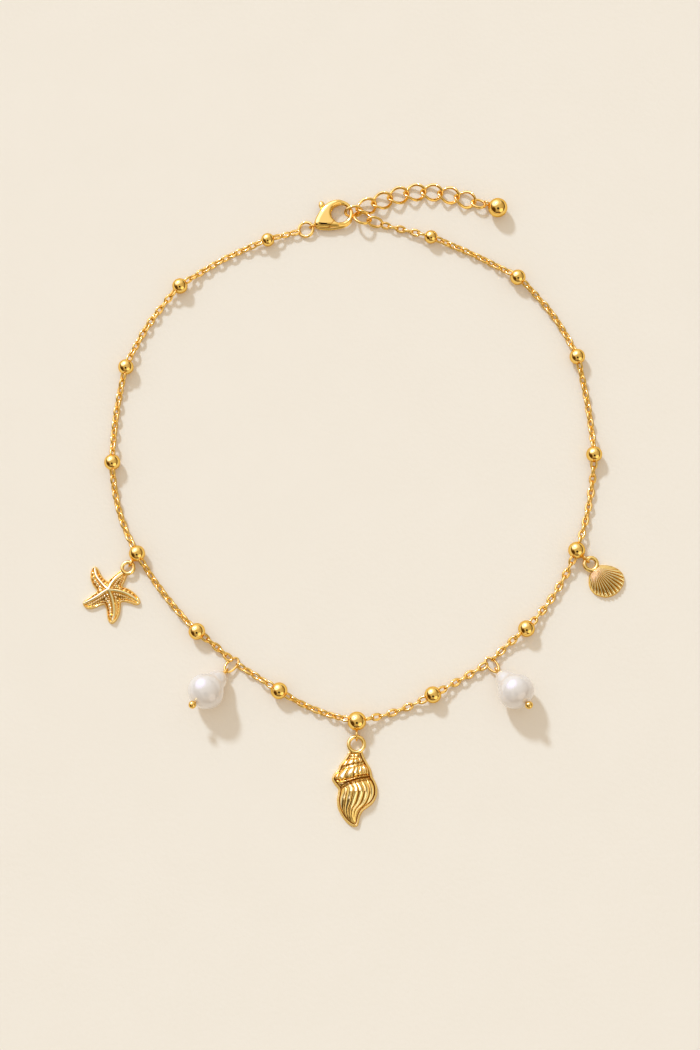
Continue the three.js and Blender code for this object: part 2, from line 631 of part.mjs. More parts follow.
// The lever: a thumb tab and an arm on a hub, and the gate that closes the hook.
function leverGeometry() {
  const { x, y } = lever;
  const { ringLow, ringHigh, under, top } = gate;
  const half = lever.tabWidth / 2;
  const tab = strip(lever.tabAngle, lever.tabReach, half, lever.tabCorner);
  const arm = strip(lever.armAngle, gate.from + lever.armInGate, half);
  const plate = [tab, arm, disc(x, y, lever.hub)].map(
    (shape) => slab(shape, lever.armLow, lever.armHigh, 8),
  );
  const band = sector({ x: 0, y: 0, from: gate.inner, to: gate.outer, low: ringLow, high: ringHigh });
  const sweep = sector({ ...gate, x, y });
  const gateSolid = toSolid(slab(band, under, top, 16)).intersect(
    toSolid(slab(sweep, under - 1, top + 1, 12)),
  );
  const whole = solidUnion(plate).add(gateSolid);
  const bored = cutAway(whole, [slab(disc(x, y, lever.bore), 0, clasp.thick, 8)]);
  return toGeometry(bored).translate(clasp.x, clasp.y, 0);
}

addPiece('clasp_body', claspBodyGeometry());
addPiece('clasp_lever', leverGeometry());

// The origin goes under the middle of the whole, on the surface.
const middle = new THREE.Box3().setFromObject(necklace, true).getCenter(new THREE.Vector3());
necklace.position.set(-middle.x, -middle.y, 0);

export default necklace;
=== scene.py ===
"""Shell necklace: the finished look of every piece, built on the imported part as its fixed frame."""

import math
import random
from contextlib import contextmanager

import bmesh
import bpy
import numpy as np
from mathutils import Euler, Matrix, Vector


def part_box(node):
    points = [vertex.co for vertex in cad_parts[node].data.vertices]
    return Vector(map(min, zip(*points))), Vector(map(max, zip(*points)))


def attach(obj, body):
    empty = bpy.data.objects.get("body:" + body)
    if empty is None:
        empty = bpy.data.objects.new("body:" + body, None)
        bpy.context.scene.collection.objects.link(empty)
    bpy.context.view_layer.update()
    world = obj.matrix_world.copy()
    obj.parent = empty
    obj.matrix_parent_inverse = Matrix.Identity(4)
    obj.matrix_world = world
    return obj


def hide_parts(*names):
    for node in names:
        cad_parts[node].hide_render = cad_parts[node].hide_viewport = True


bl_info = {
    "name": "Shell Necklace",
    "version": (1, 0, 0),
    "blender": (4, 5, 0),
    "location": "View3D > Sidebar > Necklace",
    "description": "Gold shell necklace with charms, drop pearls, clasp and extender",
    "category": "Object",
}

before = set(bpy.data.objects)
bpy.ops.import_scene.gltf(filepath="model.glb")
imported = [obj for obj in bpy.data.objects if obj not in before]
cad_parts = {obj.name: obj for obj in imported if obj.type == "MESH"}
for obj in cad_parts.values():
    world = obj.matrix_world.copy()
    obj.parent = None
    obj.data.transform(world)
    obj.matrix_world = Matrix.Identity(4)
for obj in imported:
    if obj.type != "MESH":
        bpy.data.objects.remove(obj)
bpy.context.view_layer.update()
MM = 0.001
NECKLACE, LEVER = "necklace", "clasp_lever"

# Plan places below are in mm from the loop's own middle; SHIFT takes them into the frame.
FIRST_BEAD = (-22.4, 68.0)
bead_low, bead_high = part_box("bead_left_1")
SHIFT = (bead_low + bead_high) / 2 - Vector((*FIRST_BEAD, 0)) * MM
SHIFT.z = 0

# Charm beads and their charms' eyes: bead centre, diameter, eye centre, eye's two diameters.
HANGERS = {
    "starfish": {"bead": "bead_left_5", "x": -54.8, "y": -16.0, "size": 4.1,
                 "eye_x": -57.1, "eye_y": -19.6, "outer": 3.85, "hole": 1.95},
    "conch": {"bead": "bead_centre", "x": 0.9, "y": -58.6, "size": 4.7,
              "eye_x": 0.8, "eye_y": -64.3, "outer": 4.8, "hole": 2.9},
    "scallop": {"bead": "bead_right_5", "x": 56.7, "y": -15.2, "size": 4.3,
                "eye_x": 60.3, "eye_y": -18.6, "outer": 4.2, "hole": 2.2},
}
# How high the eyes of charms and pearls lie, and a lying pearl's middle, in mm.
EYE_HEIGHT = 1.3
BELLY_HEIGHT = 4.6
PLAIN_BEADS = [f"bead_{side}_{i}" for side in ("left", "right") for i in range(1, 8) if i != 5]
SPANS = [f"chain_{i:02d}" for i in range(1, 19)]

# How each ring and link lies, in degrees: roll, pitch, heading; and its size in mm.
RINGS = {
    "jump_ring_left": {"length": 4.55, "width": 4.55, "wire": 0.76, "turn": (0, -12.5, 25)},
    "clasp_link": {"length": 5.1, "width": 3.6, "wire": 0.73, "turn": (43.8, -9.2, 7.3)},
    "jump_ring_right": {"length": 5.2, "width": 5.2, "wire": 0.74, "turn": (-31, 13.2, 0)},
    "end_link": {"length": 4.7, "width": 3.2, "wire": 0.71, "turn": (40.6, 8.3, -15)},
}
CURB = {"length": 6.25, "width": 5.0, "wire": 0.8}
CURB_TWIST = 100.0
CURB_HEADINGS = [26.5, 20.5, 17.0, 6.5, -5.0, -14.0, -17.0]
FIRST_CURB_TURN = (-8, 13.5)
LAST_LINK = {"length": 4.3, "width": 3.2, "wire": 0.72, "turn": (-20, -3, -17)}
END_BALL = {"x": 38.1, "y": 76.65, "heading": -31, "radius": 2.52, "collar": 0.62, "rise": 0.4,
            "loop": 2.3, "wire": 0.5, "loop_at": 3.3, "loop_height": 1.35}

# Chain: how far a span runs into its stations, the play between two links, and the turn of each
# span's first link about the chain with the most that a link strays from it, in degrees.
CHAIN_REACH, LINK_PLAY = 0.7, 0.02
LINK_ROLLS = [30, 40, 50, 52, 46, 38, 12, 40, 30, 0, 4, 82, 6, 20, 52, 40, 30, 20]
LINK_STRAY = 9

# A bead's drilled hole, its depth and its rim, and the loop under a bead that holds a charm.
BEAD_HOLE, BEAD_DEPTH, BEAD_RIM = 0.6, 0.9, 0.06
HANGING_LOOP = {"width": 2.5, "wire": 0.5, "in_bead": 0.35, "in_eye": 0.4}

# A drop pearl's outline from its round end to its neck: along its axis, and radius, in mm.
PEARL_ROWS = [(-4.42, 0.0), (-4.3, 1.0), (-3.85, 2.35), (-3.0, 3.5), (-1.6, 4.33), (0.0, 4.56),
              (1.36, 4.2), (2.5, 3.5), (3.3, 2.9), (4.1, 2.58), (5.0, 2.25), (5.8, 1.8),
              (6.4, 1.3), (6.7, 0.7), (6.78, 0.0)]
# How far a pearl is out of true, as shares of its radius, and the ridges round its neck.
OUT_OF_TRUE = (0.012, 0.01)
RIDGE_PITCH, RIDGE_SWAY = 0.95, 1.3
PEARLS = {
    "left": {"x": -36.5, "y": -51.3, "ring": "pearl_ring_left"},
    "right": {"x": 40.35, "y": -51.25, "ring": "pearl_ring_right"},
}
PIN = {"ball": 0.97, "ball_at": -5.5, "wire": 0.45, "loop": 2.05, "loop_at": 7.65,
       "coil": 1.02, "coil_wire": 0.42, "coil_at": 6.75, "coil_step": 0.4, "coil_lean": 5}
PEARL_RING = {"length": 5.1, "width": 2.95, "wire": 0.6}
# The ring leans from the pin's loop down to the chain, in degrees.
PEARL_RING_PITCH = math.degrees(math.asin((EYE_HEIGHT - 0.35) / 2 / 2.25))

# The starfish's outline in mm, and the line that each arm's ridge follows out from its middle.
STAR_MIDDLE = (-61.82, -25.27)
STAR_OUTLINE = [
    (-62.26, -22.78), (-61.64, -22.14), (-60.4, -21.11), (-59.28, -20.2), (-58.25, -19.95),
    (-57.55, -20.7), (-57.47, -21.49), (-57.83, -22.65), (-58.31, -23.68), (-58.34, -24.25),
    (-57.14, -24.66), (-55.86, -25.48), (-54.83, -26.38), (-54.04, -27.54), (-53.9, -28.31),
    (-54.26, -28.87), (-55.15, -28.97), (-56.42, -28.51), (-57.69, -28.21), (-58.75, -28.31),
    (-58.82, -29.59), (-58.97, -30.87), (-59.25, -31.89), (-59.85, -32.99), (-60.59, -33.68),
    (-61.19, -33.73), (-61.79, -33.25), (-62.14, -32.28), (-62.3, -31.12), (-62.45, -30.23),
    (-62.72, -29.46), (-63.11, -28.92), (-64.24, -29.23), (-65.24, -29.69), (-66.49, -30.0),
    (-67.51, -29.82), (-68.18, -29.28), (-68.48, -28.56), (-68.15, -27.92), (-67.08, -27.13),
    (-66.09, -26.38), (-65.1, -25.56), (-65.22, -24.92), (-66.03, -23.94), (-66.57, -22.65),
    (-66.73, -21.37), (-66.57, -20.08), (-66.2, -19.35), (-65.63, -19.04), (-64.9, -19.45),
    (-64.4, -20.3), (-64.0, -21.1), (-63.16, -22.14)]
STAR_RIDGES = [
    [(-61.41, -24.16), (-60.75, -23.0), (-59.89, -21.97), (-59.03, -21.2), (-58.1, -20.6)],
    [(-63.0, -24.23), (-63.91, -23.2), (-64.64, -22.3), (-65.12, -21.4), (-65.38, -20.37),
     (-65.45, -19.5)],
    [(-62.46, -25.54), (-63.45, -26.16), (-64.44, -26.82), (-65.44, -27.41), (-66.44, -27.92),
     (-67.43, -28.36), (-68.1, -28.65)],
    [(-61.38, -26.16), (-60.95, -27.18), (-60.61, -28.46), (-60.38, -29.74), (-60.32, -31.02),
     (-60.47, -32.3), (-60.8, -33.3)],
    [(-60.94, -25.39), (-60.06, -25.46), (-58.92, -25.64), (-57.64, -26.05), (-56.37, -26.67),
     (-55.08, -27.52), (-54.2, -28.3)],
]

# The scallop's outline and highest point in mm, the point its ribs spread from, and their turns.
SCALLOP_MIDDLE, SCALLOP_CROWN = (61.5, -20.25), (63.4, -22.0)
UMBO, RIB_START, RIB_PITCH = (61.1, -19.9), 124, 7.7
SCALLOP_OUTLINE = [
    (60.89, -19.75), (60.52, -20.19), (60.2, -20.83), (59.9, -21.73), (59.78, -22.64),
    (59.8, -23.67), (60.01, -24.52), (60.44, -25.34), (61.11, -26.06), (61.98, -26.57),
    (62.86, -26.85), (63.74, -27.03), (64.75, -26.96), (65.77, -26.62), (66.68, -26.11),
    (67.45, -25.42), (68.11, -24.57), (68.54, -23.79), (68.77, -22.89), (68.8, -21.99),
    (68.54, -21.09), (67.98, -20.34), (67.24, -19.69), (66.24, -19.18), (64.98, -18.82),
    (63.71, -18.71), (62.31, -18.76), (61.54, -19.15)]

# The conch's outline in mm, the line under each whorl, and where the ribs' grooves lie across it.
CONCH_MIDDLE = (0.5, -75.0)
CONCH_OUTLINE = [
    (-0.92, -65.91), (-1.54, -66.9), (-2.16, -67.77), (-2.91, -68.64), (-3.4, -69.38),
    (-3.77, -70.37), (-4.52, -71.11), (-5.09, -71.98), (-5.31, -72.84), (-4.94, -73.7),
    (-4.26, -74.57), (-3.72, -75.31), (-3.77, -76.29), (-4.01, -77.52), (-3.99, -78.75),
    (-3.81, -79.98), (-3.27, -81.2), (-2.52, -82.43), (-1.66, -83.41), (-0.79, -84.14),
    (0.32, -84.58), (1.06, -84.31), (1.41, -83.41), (1.6, -82.43), (2.0, -81.33),
    (2.67, -80.47), (3.66, -79.78), (4.65, -79.0), (5.4, -78.01), (5.9, -76.78), (6.0, -75.55),
    (5.83, -74.32), (5.34, -73.09), (4.74, -72.1), (4.52, -70.86), (4.18, -69.87),
    (3.68, -69.01), (3.26, -68.26), (2.76, -67.4), (2.44, -66.53), (1.95, -65.78)]
CONCH_TOP, CONCH_TIP, CONCH_RIM = -65.5, -84.6, 0.55
WHORLS = [
    {"under": [(-1.78, -67.79), (-0.3, -67.67), (1.19, -67.54), (2.31, -67.17)],
     "grooves": [-0.02, 0.25, 0.48, 0.72, 1.02], "rib": 0.26, "swell": 0.14},
    {"under": [(-3.27, -70.51), (-2.4, -70.09), (-0.79, -69.77), (1.19, -69.27), (3.17, -68.66)],
     "grooves": [0.02, 0.24, 0.47, 0.675, 0.85, 0.98], "rib": 0.5, "swell": 0.3},
    {"under": [(-5.24, -73.04), (-4.01, -73.46), (-2.52, -73.54), (-0.79, -73.22),
               (1.19, -72.55), (3.17, -72.18), (4.65, -71.98)],
     "grooves": [0.02, 0.15, 0.32, 0.515, 0.655, 0.766, 0.86, 0.96], "rib": 0.55, "swell": 0.5},
    {"under": [(-3.39, -75.43), (-2.89, -74.94), (-2.03, -74.27), (-0.79, -73.76),
               (1.19, -73.22), (3.17, -72.72), (4.4, -72.67)],
     "grooves": [0, 1], "rib": 0.0, "swell": 0.0},
    {"under": [(-6, CONCH_TIP), (6, CONCH_TIP)],
     "grooves": [0.03, 0.22, 0.38, 0.52, 0.66, 0.8, 0.93], "rib": 0.6, "swell": 0.3},
]
# The conch's back: how high it is at each level from its tip to its top.
CONCH_BACK = [(CONCH_TIP, 0.9), (-83.4, 1.2), (-82.0, 1.8), (-80.0, 2.9), (-78.0, 3.8),
              (-76.0, 4.25), (-74.3, 3.9), (-73.2, 3.5), (-71.5, 3.4), (-70.0, 2.85),
              (-68.5, 2.3), (-67.0, 1.7), (CONCH_TOP, 1.35)]

# The clasp's middle, which is that of its hook's hole, and in mm from there the edge of its body.
CLASP_AT = (-3.3, 75.4)
CLASP_EDGE = [(3.38, -0.6), (3.25, 0.9), (2.45, 2.45), (1.2, 3.4), (-0.5, 3.85), (-2.1, 3.55),
              (-3.3, 3.02), (-4.4, 2.15), (-5.4, 0.95), (-6.2, -0.6), (-6.8, -2.1), (-6.85, -3.2),
              (-5.9, -3.7), (-4.4, -3.8), (-2.2, -3.85), (-0.2, -3.75), (1.4, -3.35), (2.85, -2.2)]
# The flank's line: along the clasp, across it, height, and half its thickness.
CLASP_FLANK = [(-6.75, -3.1, 1.1, 0.3), (-6.2, -3.55, 1.0, 0.42), (-5.0, -3.88, 0.95, 0.47),
               (-3.0, -3.98, 0.93, 0.47), (-1.2, -3.82, 0.95, 0.44), (0.3, -3.56, 1.0, 0.42),
               (1.5, -3.15, 1.1, 0.4), (2.5, -2.4, 1.2, 0.34), (2.95, -1.6, 1.3, 0.25)]
CLASP_HOLE, CLASP_RING = 2.4, 3
# Half the thickness and the height of the middle, in the body and in the hook.
BODY_THICK, HOOK_THICK, HOOK_LEVEL = 1.2, 0.52, 1.36
CLASP_EYE = {"size": 2.2, "wire": 0.45, "at": (-7.3, -3.4, 1.2), "turn": (90, 0, 25)}
# The lever's pin, the levels of its slot and of the lever, and its tab's angle at both stops.
CLASP_PIVOT = (-3.9, -1.6)
SLOT_LEVELS, LEVER_LEVELS = (0.65, 1.85), (0.85, 1.65)
TAB_ANGLES = (104.5, 130)
# Plan shapes round the pin, in mm and degrees. Discs and slices: radius, from and to which angle,
# and points. Bars: length and half width of the tab's slot at its stops; angle too of the arm.
TAB_SLOT, ARM_SLOT = (6.5, *TAB_ANGLES), (2.3, -75, 38)
HUB_SLOT, HUB = (1.15, 0, 359, 32), (0.95, 0, 345, 24)
TAB_STOP, ARM = (5.8, 0.86), (-28, 2.2, 0.5)
# The tab: its shank's length, width and place out from the pin, and its tip's place and shape.
TAB_SHANK, TAB_SHANK_AT, TAB_TIP_AT, TAB_TIP = (3.6, 1.1, 1.0), 2.5, 4.05, (1.2, 0.82, 0.62)
# The gate's stretch of the hook, in degrees, and how much shorter, slimmer and thinner it is.
GATE_ANGLES = (231.0, 264.0)
GATE = {"short": 0.98, "middle": 3.05, "slim": 0.86, "level": 1.3, "thin": 0.62}
# The slit in the clasp's upper side: where it starts, its angle, its length and half its width.
SLIT = ((-5.7, -2.93), -5.0, 2.1, 0.16)
SLIT_FLOOR = 1.45


class NecklaceMetal(bpy.types.PropertyGroup):
    """The gold of the chain, beads, clasp and charms"""

    colour: bpy.props.FloatVectorProperty(
        name="Gold", description="Base colour of the gold plate", subtype="COLOR",
        default=(0.96, 0.66, 0.185), min=0, max=1)
    shine: bpy.props.FloatProperty(
        name="Bead roughness", description="Roughness of the mirror-polished beads and rings",
        subtype="FACTOR", default=0.035, min=0, max=1)
    # the colour of the shade painted into the cast charms' dips, and, deepened, of the shadow painted
    # into the clasp's slit
    recess: bpy.props.FloatVectorProperty(
        name="Recesses", description="Colour of the gold in the cast charms' recesses",
        subtype="COLOR", default=(0.44, 0.22, 0.032), min=0, max=1)
    cast: bpy.props.FloatProperty(
        name="Cast roughness", description="Roughness of the cast charms",
        subtype="FACTOR", default=0.19, min=0, max=1)


class NecklaceChain(bpy.types.PropertyGroup):
    """The cable links between the stations"""

    length: bpy.props.FloatProperty(
        name="Link length", description="Outside length of one cable link",
        unit="LENGTH", default=3.18 * MM, min=MM, max=4 * MM)
    width: bpy.props.FloatProperty(
        name="Link width", description="Outside width of one cable link",
        unit="LENGTH", default=2.05 * MM, min=MM, max=3 * MM)
    wire: bpy.props.FloatProperty(
        name="Link wire", description="Thickness of the cable link's wire",
        unit="LENGTH", default=0.66 * MM, min=0.2 * MM, max=MM)


class NecklacePearl(bpy.types.PropertyGroup):
    """The drop pearls"""

    colour: bpy.props.FloatVectorProperty(
        name="Pearl", description="Base colour of the nacre", subtype="COLOR",
        default=(0.78, 0.715, 0.65), min=0, max=1)
    ripple: bpy.props.FloatProperty(
        name="Growth ridges", description="Height of the ridges round a pearl's neck",
        unit="LENGTH", default=0.04 * MM, min=0, max=0.3 * MM)


class NecklaceStage(bpy.types.PropertyGroup):
    """The floor, the lights and the camera"""

    floor: bpy.props.FloatVectorProperty(
        name="Floor", description="Colour of the plain floor", subtype="COLOR",
        default=(0.89, 0.81, 0.70), min=0, max=1)
    key: bpy.props.FloatProperty(
        name="Key light", description="Strength of the key light", default=2.0, min=0, max=20)
    elevation: bpy.props.FloatProperty(
        name="Camera elevation", description="Angle of the camera above the surface",
        subtype="ANGLE", default=math.radians(78), min=0.1, max=math.radians(90))


# ---- working with pieces ----
def deselect():
    bpy.ops.object.select_all(action="DESELECT")


def select_only(*pieces):
    deselect()
    for piece in pieces:
        piece.select_set(True)
    bpy.context.view_layer.objects.active = pieces[0]
    return pieces[0]


def join(*pieces):
    select_only(*pieces)
    if len(pieces) > 1:
        bpy.ops.object.join()
    return bpy.context.object


def apply_place(piece):
    select_only(piece)
    bpy.ops.object.transform_apply(location=True, rotation=True, scale=True)
    return piece


def finish_piece(piece, name, nodes, finish, body=NECKLACE):
    """Puts a piece's place in its mesh, names it and seats it on its body for its CAD nodes."""
    apply_place(piece)
    piece.name = piece.data.name = name
    piece.data.materials.clear()
    piece.data.materials.append(finish_named(finish))
    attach(piece, body)
    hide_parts(*nodes)
    return piece


@contextmanager
def editing(piece, kind=None):
    """Edit mode on one piece, by its vertices, edges or faces."""
    select_only(piece)
    bpy.ops.object.mode_set(mode="EDIT")
    if kind:
        bpy.ops.mesh.select_mode(type=kind)
    yield
    bpy.ops.object.mode_set(mode="OBJECT")


def pick(piece, parts, test):
    """Selects those faces, edges or verts that pass a test, in edit mode."""
    mesh = bmesh.from_edit_mesh(piece.data)
    for part in getattr(mesh, parts):
        part.select = test(part)
    bmesh.update_edit_mesh(piece.data)


def pick_open_edges(piece):
    bpy.ops.mesh.select_all(action="DESELECT")
    pick(piece, "edges", lambda edge: edge.is_boundary)


def face_outwards():
    bpy.ops.mesh.select_all(action="SELECT")
    bpy.ops.mesh.normals_make_consistent(inside=False)


def extrude(way):
    """Extrudes what is selected in edit mode along a way, in metres."""
    bpy.ops.mesh.extrude_region_move(TRANSFORM_OT_translate={"value": way})


def smooth_under(angle):
    """Shades the selected piece smooth, but for edges sharper than an angle in degrees."""
    bpy.ops.object.shade_smooth_by_angle(angle=math.radians(angle))


def add_ball(segments, rings, radius, at=(0, 0, 0), turn=(0, 0, 0), scale=(1, 1, 1)):
    """Adds a smooth ball with nothing else selected."""
    deselect()
    bpy.ops.mesh.primitive_uv_sphere_add(
        segments=segments, ring_count=rings, radius=radius, location=at, rotation=turn, scale=scale)
    bpy.ops.object.shade_smooth()
    return bpy.context.object


def spots(piece):
    """A piece's points, as rows of x, y and z in metres."""
    flat = np.zeros(len(piece.data.vertices) * 3)
    piece.data.vertices.foreach_get("co", flat)
    return flat.reshape(-1, 3)


def move_spots(piece, places):
    """Moves a piece's points to new places, in mm."""
    piece.data.vertices.foreach_set("co", (places * MM).ravel())
    piece.data.update()
    return piece


def middle_of(node):
    """A ring's own middle: the mean of its CAD points."""
    return Vector(spots(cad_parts[node]).mean(0))


def degrees(*angles):
    return [math.radians(angle) for angle in angles]


def smooth_step(a, b, c, d, t):
    """A smooth line's place between b and c, where t goes from 0 to 1."""
    return 0.5 * (2 * b + (c - a) * t + (2 * a - 5 * b + 4 * c - d) * t ** 2
                  + (3 * b - a - 3 * c + d) * t ** 3)


def smooth_closed(points, steps):
    """Points of a closed smooth line through the given ones."""
    loop = np.array(points, float)
    before, after, later = (np.roll(loop, n, 0) for n in (1, -1, -2))
    made = [smooth_step(before, loop, after, later, t)
            for t in np.linspace(0, 1, steps, endpoint=False)]
    return np.stack(made, 1).reshape(-1, loop.shape[1])


def smooth_open(points, count):
    """Evenly spaced points of a smooth line through the given ones, ends included."""
    rows = np.array(points, float)
    rows = np.vstack([2 * rows[0] - rows[1], rows, 2 * rows[-1] - rows[-2]])
    t = np.linspace(0, 1, 16, endpoint=False)[:, None]
    made = [smooth_step(*four, t) for four in zip(rows, rows[1:], rows[2:], rows[3:])]
    line = np.vstack(made + [rows[-2:-1]])
    along = lengths(line)
    return at_lengths(line, along, np.linspace(0, along[-1], count))


def lengths(line):
    """How far along a line each of its points is."""
    return np.append(0, np.cumsum(np.linalg.norm(np.diff(line, axis=0), axis=1)))


def at_lengths(line, along, wanted):
    return np.stack([np.interp(wanted, along, column) for column in line.T], 1)


def edge_distance(points, outline):
    """How far each point is from a closed outline."""
    nearest = np.full(len(points), 1e9)
    for start, end in zip(outline, np.roll(outline, -1, 0)):
        side = end - start
        share = np.clip(((points - start) @ side) / max(side @ side, 1e-12), 0, 1)
        away = points - start - share[:, None] * side
        nearest = np.minimum(nearest, np.linalg.norm(away, axis=1))
    return nearest


# ---- materials ----
def set_inputs(tree, node, inputs):
    """Gives each input of a node its value, or joins it to another node's output."""
    for name, value in inputs.items():
        if isinstance(value, bpy.types.NodeSocket):
            tree.links.new(value, node.inputs[name])
        else:
            node.inputs[name].default_value = value


def add_node(tree, kind, inputs, **settings):
    node = tree.nodes.new(f"ShaderNode{kind}")
    for name, value in settings.items():
        setattr(node, name, value)
    set_inputs(tree, node, inputs)
    return node


def new_finish(name):
    """A new material, its node tree, its shader and the piece's own coordinates."""
    finish = bpy.data.materials.new(name)
    finish.use_nodes = True
    tree = finish.node_tree
    place = add_node(tree, "TexCoord", {}).outputs["Object"]
    return finish, tree, tree.nodes["Principled BSDF"], place


def add_noise(tree, place, scale, detail=3.0, roughness=0.5):
    return add_node(tree, "TexNoise", {"Vector": place, "Scale": scale, "Detail": detail,
                                       "Roughness": roughness}).outputs["Fac"]


def add_range(tree, value, low, high, start=0.0, end=1.0):
    """Turns a pattern, which runs from start to end, into a range of values."""
    return add_node(tree, "MapRange", {"Value": value, "From Min": start, "From Max": end,
                                       "To Min": low, "To Max": high}).outputs["Result"]


def add_mix(tree, value, *colours):
    """Mixes two colours, each plain or a pattern's own, by a 0 to 1 pattern."""
    first, second = (c if isinstance(c, bpy.types.NodeSocket) else (*c, 1) for c in colours)
    return add_node(tree, "Mix", {"Factor": value, "A": first, "B": second},
                    data_type="RGBA").outputs["Result"]


def add_bump(tree, shader, height, distance):
    bump = add_node(tree, "Bump", {"Strength": 1.0, "Distance": distance, "Height": height})
    set_inputs(tree, shader, {"Normal": bump.outputs["Normal"]})


def shade(colour, *factors):
    return [min(1.0, c * s) for c, s in zip(colour, factors)]


def gold_finish(name, colour, roughness, grain, dent=0.0, painted_shade=None):
    """Gold plate: soft wear in its shine, a faint shift of tone, and painted shade and highlights if
    marked.
    """
    finish, tree, shader, place = new_finish(name)
    tone = add_range(tree, add_noise(tree, place, 420.0), 0.25, 0.75)
    base = add_mix(tree, tone, shade(colour, 0.98, 0.95, 0.86), shade(colour, 1.02, 1.04, 1.12))
    wear = add_range(tree, add_noise(tree, place, grain, 6.0, 0.65),
                     roughness * 0.6, roughness * 1.5)
    if painted_shade:
        # this attribute is 0 to 1 where shade is painted into a dip, and below 0 where a pale
        # highlight is painted on an edge
        recess = add_node(tree, "Attribute", {}, attribute_name="recess").outputs["Fac"]
        painted_highlight = add_node(tree, "Math", {0: recess, 1: -1}, operation="MULTIPLY", use_clamp=True)
        rough = add_node(tree, "Math", {0: recess, 1: 0.12, 2: wear}, operation="MULTIPLY_ADD")
        # painted shade mixed in where the attribute is above 0, and a painted pale highlight where it
        # is below 0
        base = add_mix(tree, recess, base, painted_shade)
        base = add_mix(tree, painted_highlight.outputs["Value"], base, shade(colour, 1.04, 1.26, 2.2))
        wear = rough.outputs["Value"]
    # the deep edge tint darkens the gold at grazing angles: painted shade along the sides of wires
    # and beads
    set_inputs(tree, shader, {"Base Color": base, "Roughness": wear, "Metallic": 1.0,
                              "Specular Tint": (0.9, 0.6, 0.2, 1)})
    if dent:
        add_bump(tree, shader, add_noise(tree, place, grain * 0.4, 2.0), dent)
    return finish


def pearl_finish(colour):
    """Nacre: pale above and cream toward its underside as painted bounce light, with a soft sheen
    under a clear shine.
    """
    finish, tree, shader, place = new_finish("drop_nacre")
    drift = add_noise(tree, place, 210.0, 2.0)
    pale = add_mix(tree, drift, shade(colour, 0.98, 0.97, 1.0), colour)
    # painted bounce light: the nacre turns cream from the belly's height down toward the floor
    height = add_node(tree, "SeparateXYZ", {"Vector": place}).outputs["Z"]
    low = add_range(tree, height, 0.0, 1.0, BELLY_HEIGHT * MM, 1.8 * MM)
    set_inputs(tree, shader, {
        "Base Color": add_mix(tree, low, pale, shade(colour, 1.22, 1.14, 0.96)),
        "Roughness": 0.3, "Specular IOR Level": 0.6, "IOR": 1.5,
        "Coat Weight": 1.0, "Coat Roughness": 0.1, "Coat IOR": 1.75,
        "Sheen Weight": 0.25, "Sheen Roughness": 0.35, "Sheen Tint": (1.0, 0.86, 0.66, 1)})
    add_bump(tree, shader, add_noise(tree, place, 900.0), 0.02 * MM)
    return finish


def floor_finish(colour):
    """Pale plaster with faint specks."""
    finish, tree, shader, place = new_finish("pale_floor")
    cloud = add_noise(tree, place, 60.0, 8.0, 0.6)
    deep = shade(colour, 0.97, 0.965, 0.955)
    set_inputs(tree, shader, {"Base Color": add_mix(tree, cloud, deep, colour), "Roughness": 0.85})
    add_bump(tree, shader, add_noise(tree, place, 900.0, 6.0), 0.06 * MM)
    return finish


def finish_named(name):
    """The finish of that name, made when it is first asked for."""
    found = bpy.data.materials.get(name)
    if found:
        return found
    metal = bpy.context.scene.necklace_metal
    if name == "drop_nacre":
        return pearl_finish(bpy.context.scene.necklace_pearl.colour)
    # the cast charms get painted shade in their dips and painted highlights on their edges
    if name == "relief_gold":
        paler = shade(metal.colour, 1.04, 1.1, 1.3)
        return gold_finish(name, paler, metal.cast, 1800.0, 0.012 * MM, metal.recess)
    if name == "bright_wire":
        return gold_finish(name, metal.colour, metal.shine * 1.6, 900.0)
    # the clasp gets a near-black painted shadow in its slit
    painted_shade = shade(metal.recess, 0.25, 0.22, 0.2) if name == "clasp_polish" else None
    return gold_finish(name, metal.colour, metal.shine, 700.0, painted_shade=painted_shade)


# ---- rings and links ----
def add_wire_ring(length, width, wire, twist=0.0, rounds=12, fineness=4):
    """Adds an oval of round wire at the origin, its long side on X, in mm sizes."""
    deselect()
    bpy.ops.curve.primitive_bezier_circle_add(radius=1)
    ring = bpy.context.object
    ring.scale = ((length - wire) / 2 * MM, (width - wire) / 2 * MM, 1)
    bpy.ops.object.transform_apply(scale=True)
    for point in ring.data.splines[0].bezier_points:
        point.radius = 1
    ring.data.resolution_u = rounds
    ring.data.bevel_depth = wire / 2 * MM
    ring.data.bevel_resolution = fineness
    bpy.ops.object.convert(target="MESH")
    ring = bpy.context.object
    bpy.ops.object.shade_smooth()
    if twist:
        turned = ring.modifiers.new("twist", "SIMPLE_DEFORM")
        turned.deform_method = "TWIST"
        turned.deform_axis = "X"
        turned.angle = math.radians(twist)
        bpy.ops.object.modifier_apply(modifier=turned.name)
    return ring


def above_floor(piece, place):
    """A piece's place, lifted if it would sink into the floor."""
    low = min((place @ vertex.co).z for vertex in piece.data.vertices)
    return Matrix.Translation((0, 0, max(0.0, 0.01 * MM - low))) @ place


def make_ring(name, node, row, twist=0.0, rounds=12):
    """Makes a ring or link of a row's size, turned as the row says round its node's middle."""
    ring = add_wire_ring(row["length"], row["width"], row["wire"], twist, rounds)
    turned = Euler(degrees(*row["turn"])).to_matrix().to_4x4()
    ring.matrix_world = above_floor(ring, Matrix.Translation(middle_of(node)) @ turned)
    finish_piece(ring, name, [node], "bright_wire")


class OBJECT_OT_necklace_rings(bpy.types.Operator):
    """Make the rings and the oval links round the clasp"""

    bl_idname = "object.necklace_rings"
    bl_label = "Jump rings"

    def execute(self, context):
        for node, row in RINGS.items():
            make_ring(f"wire_{node}", node, row)
        return {"FINISHED"}


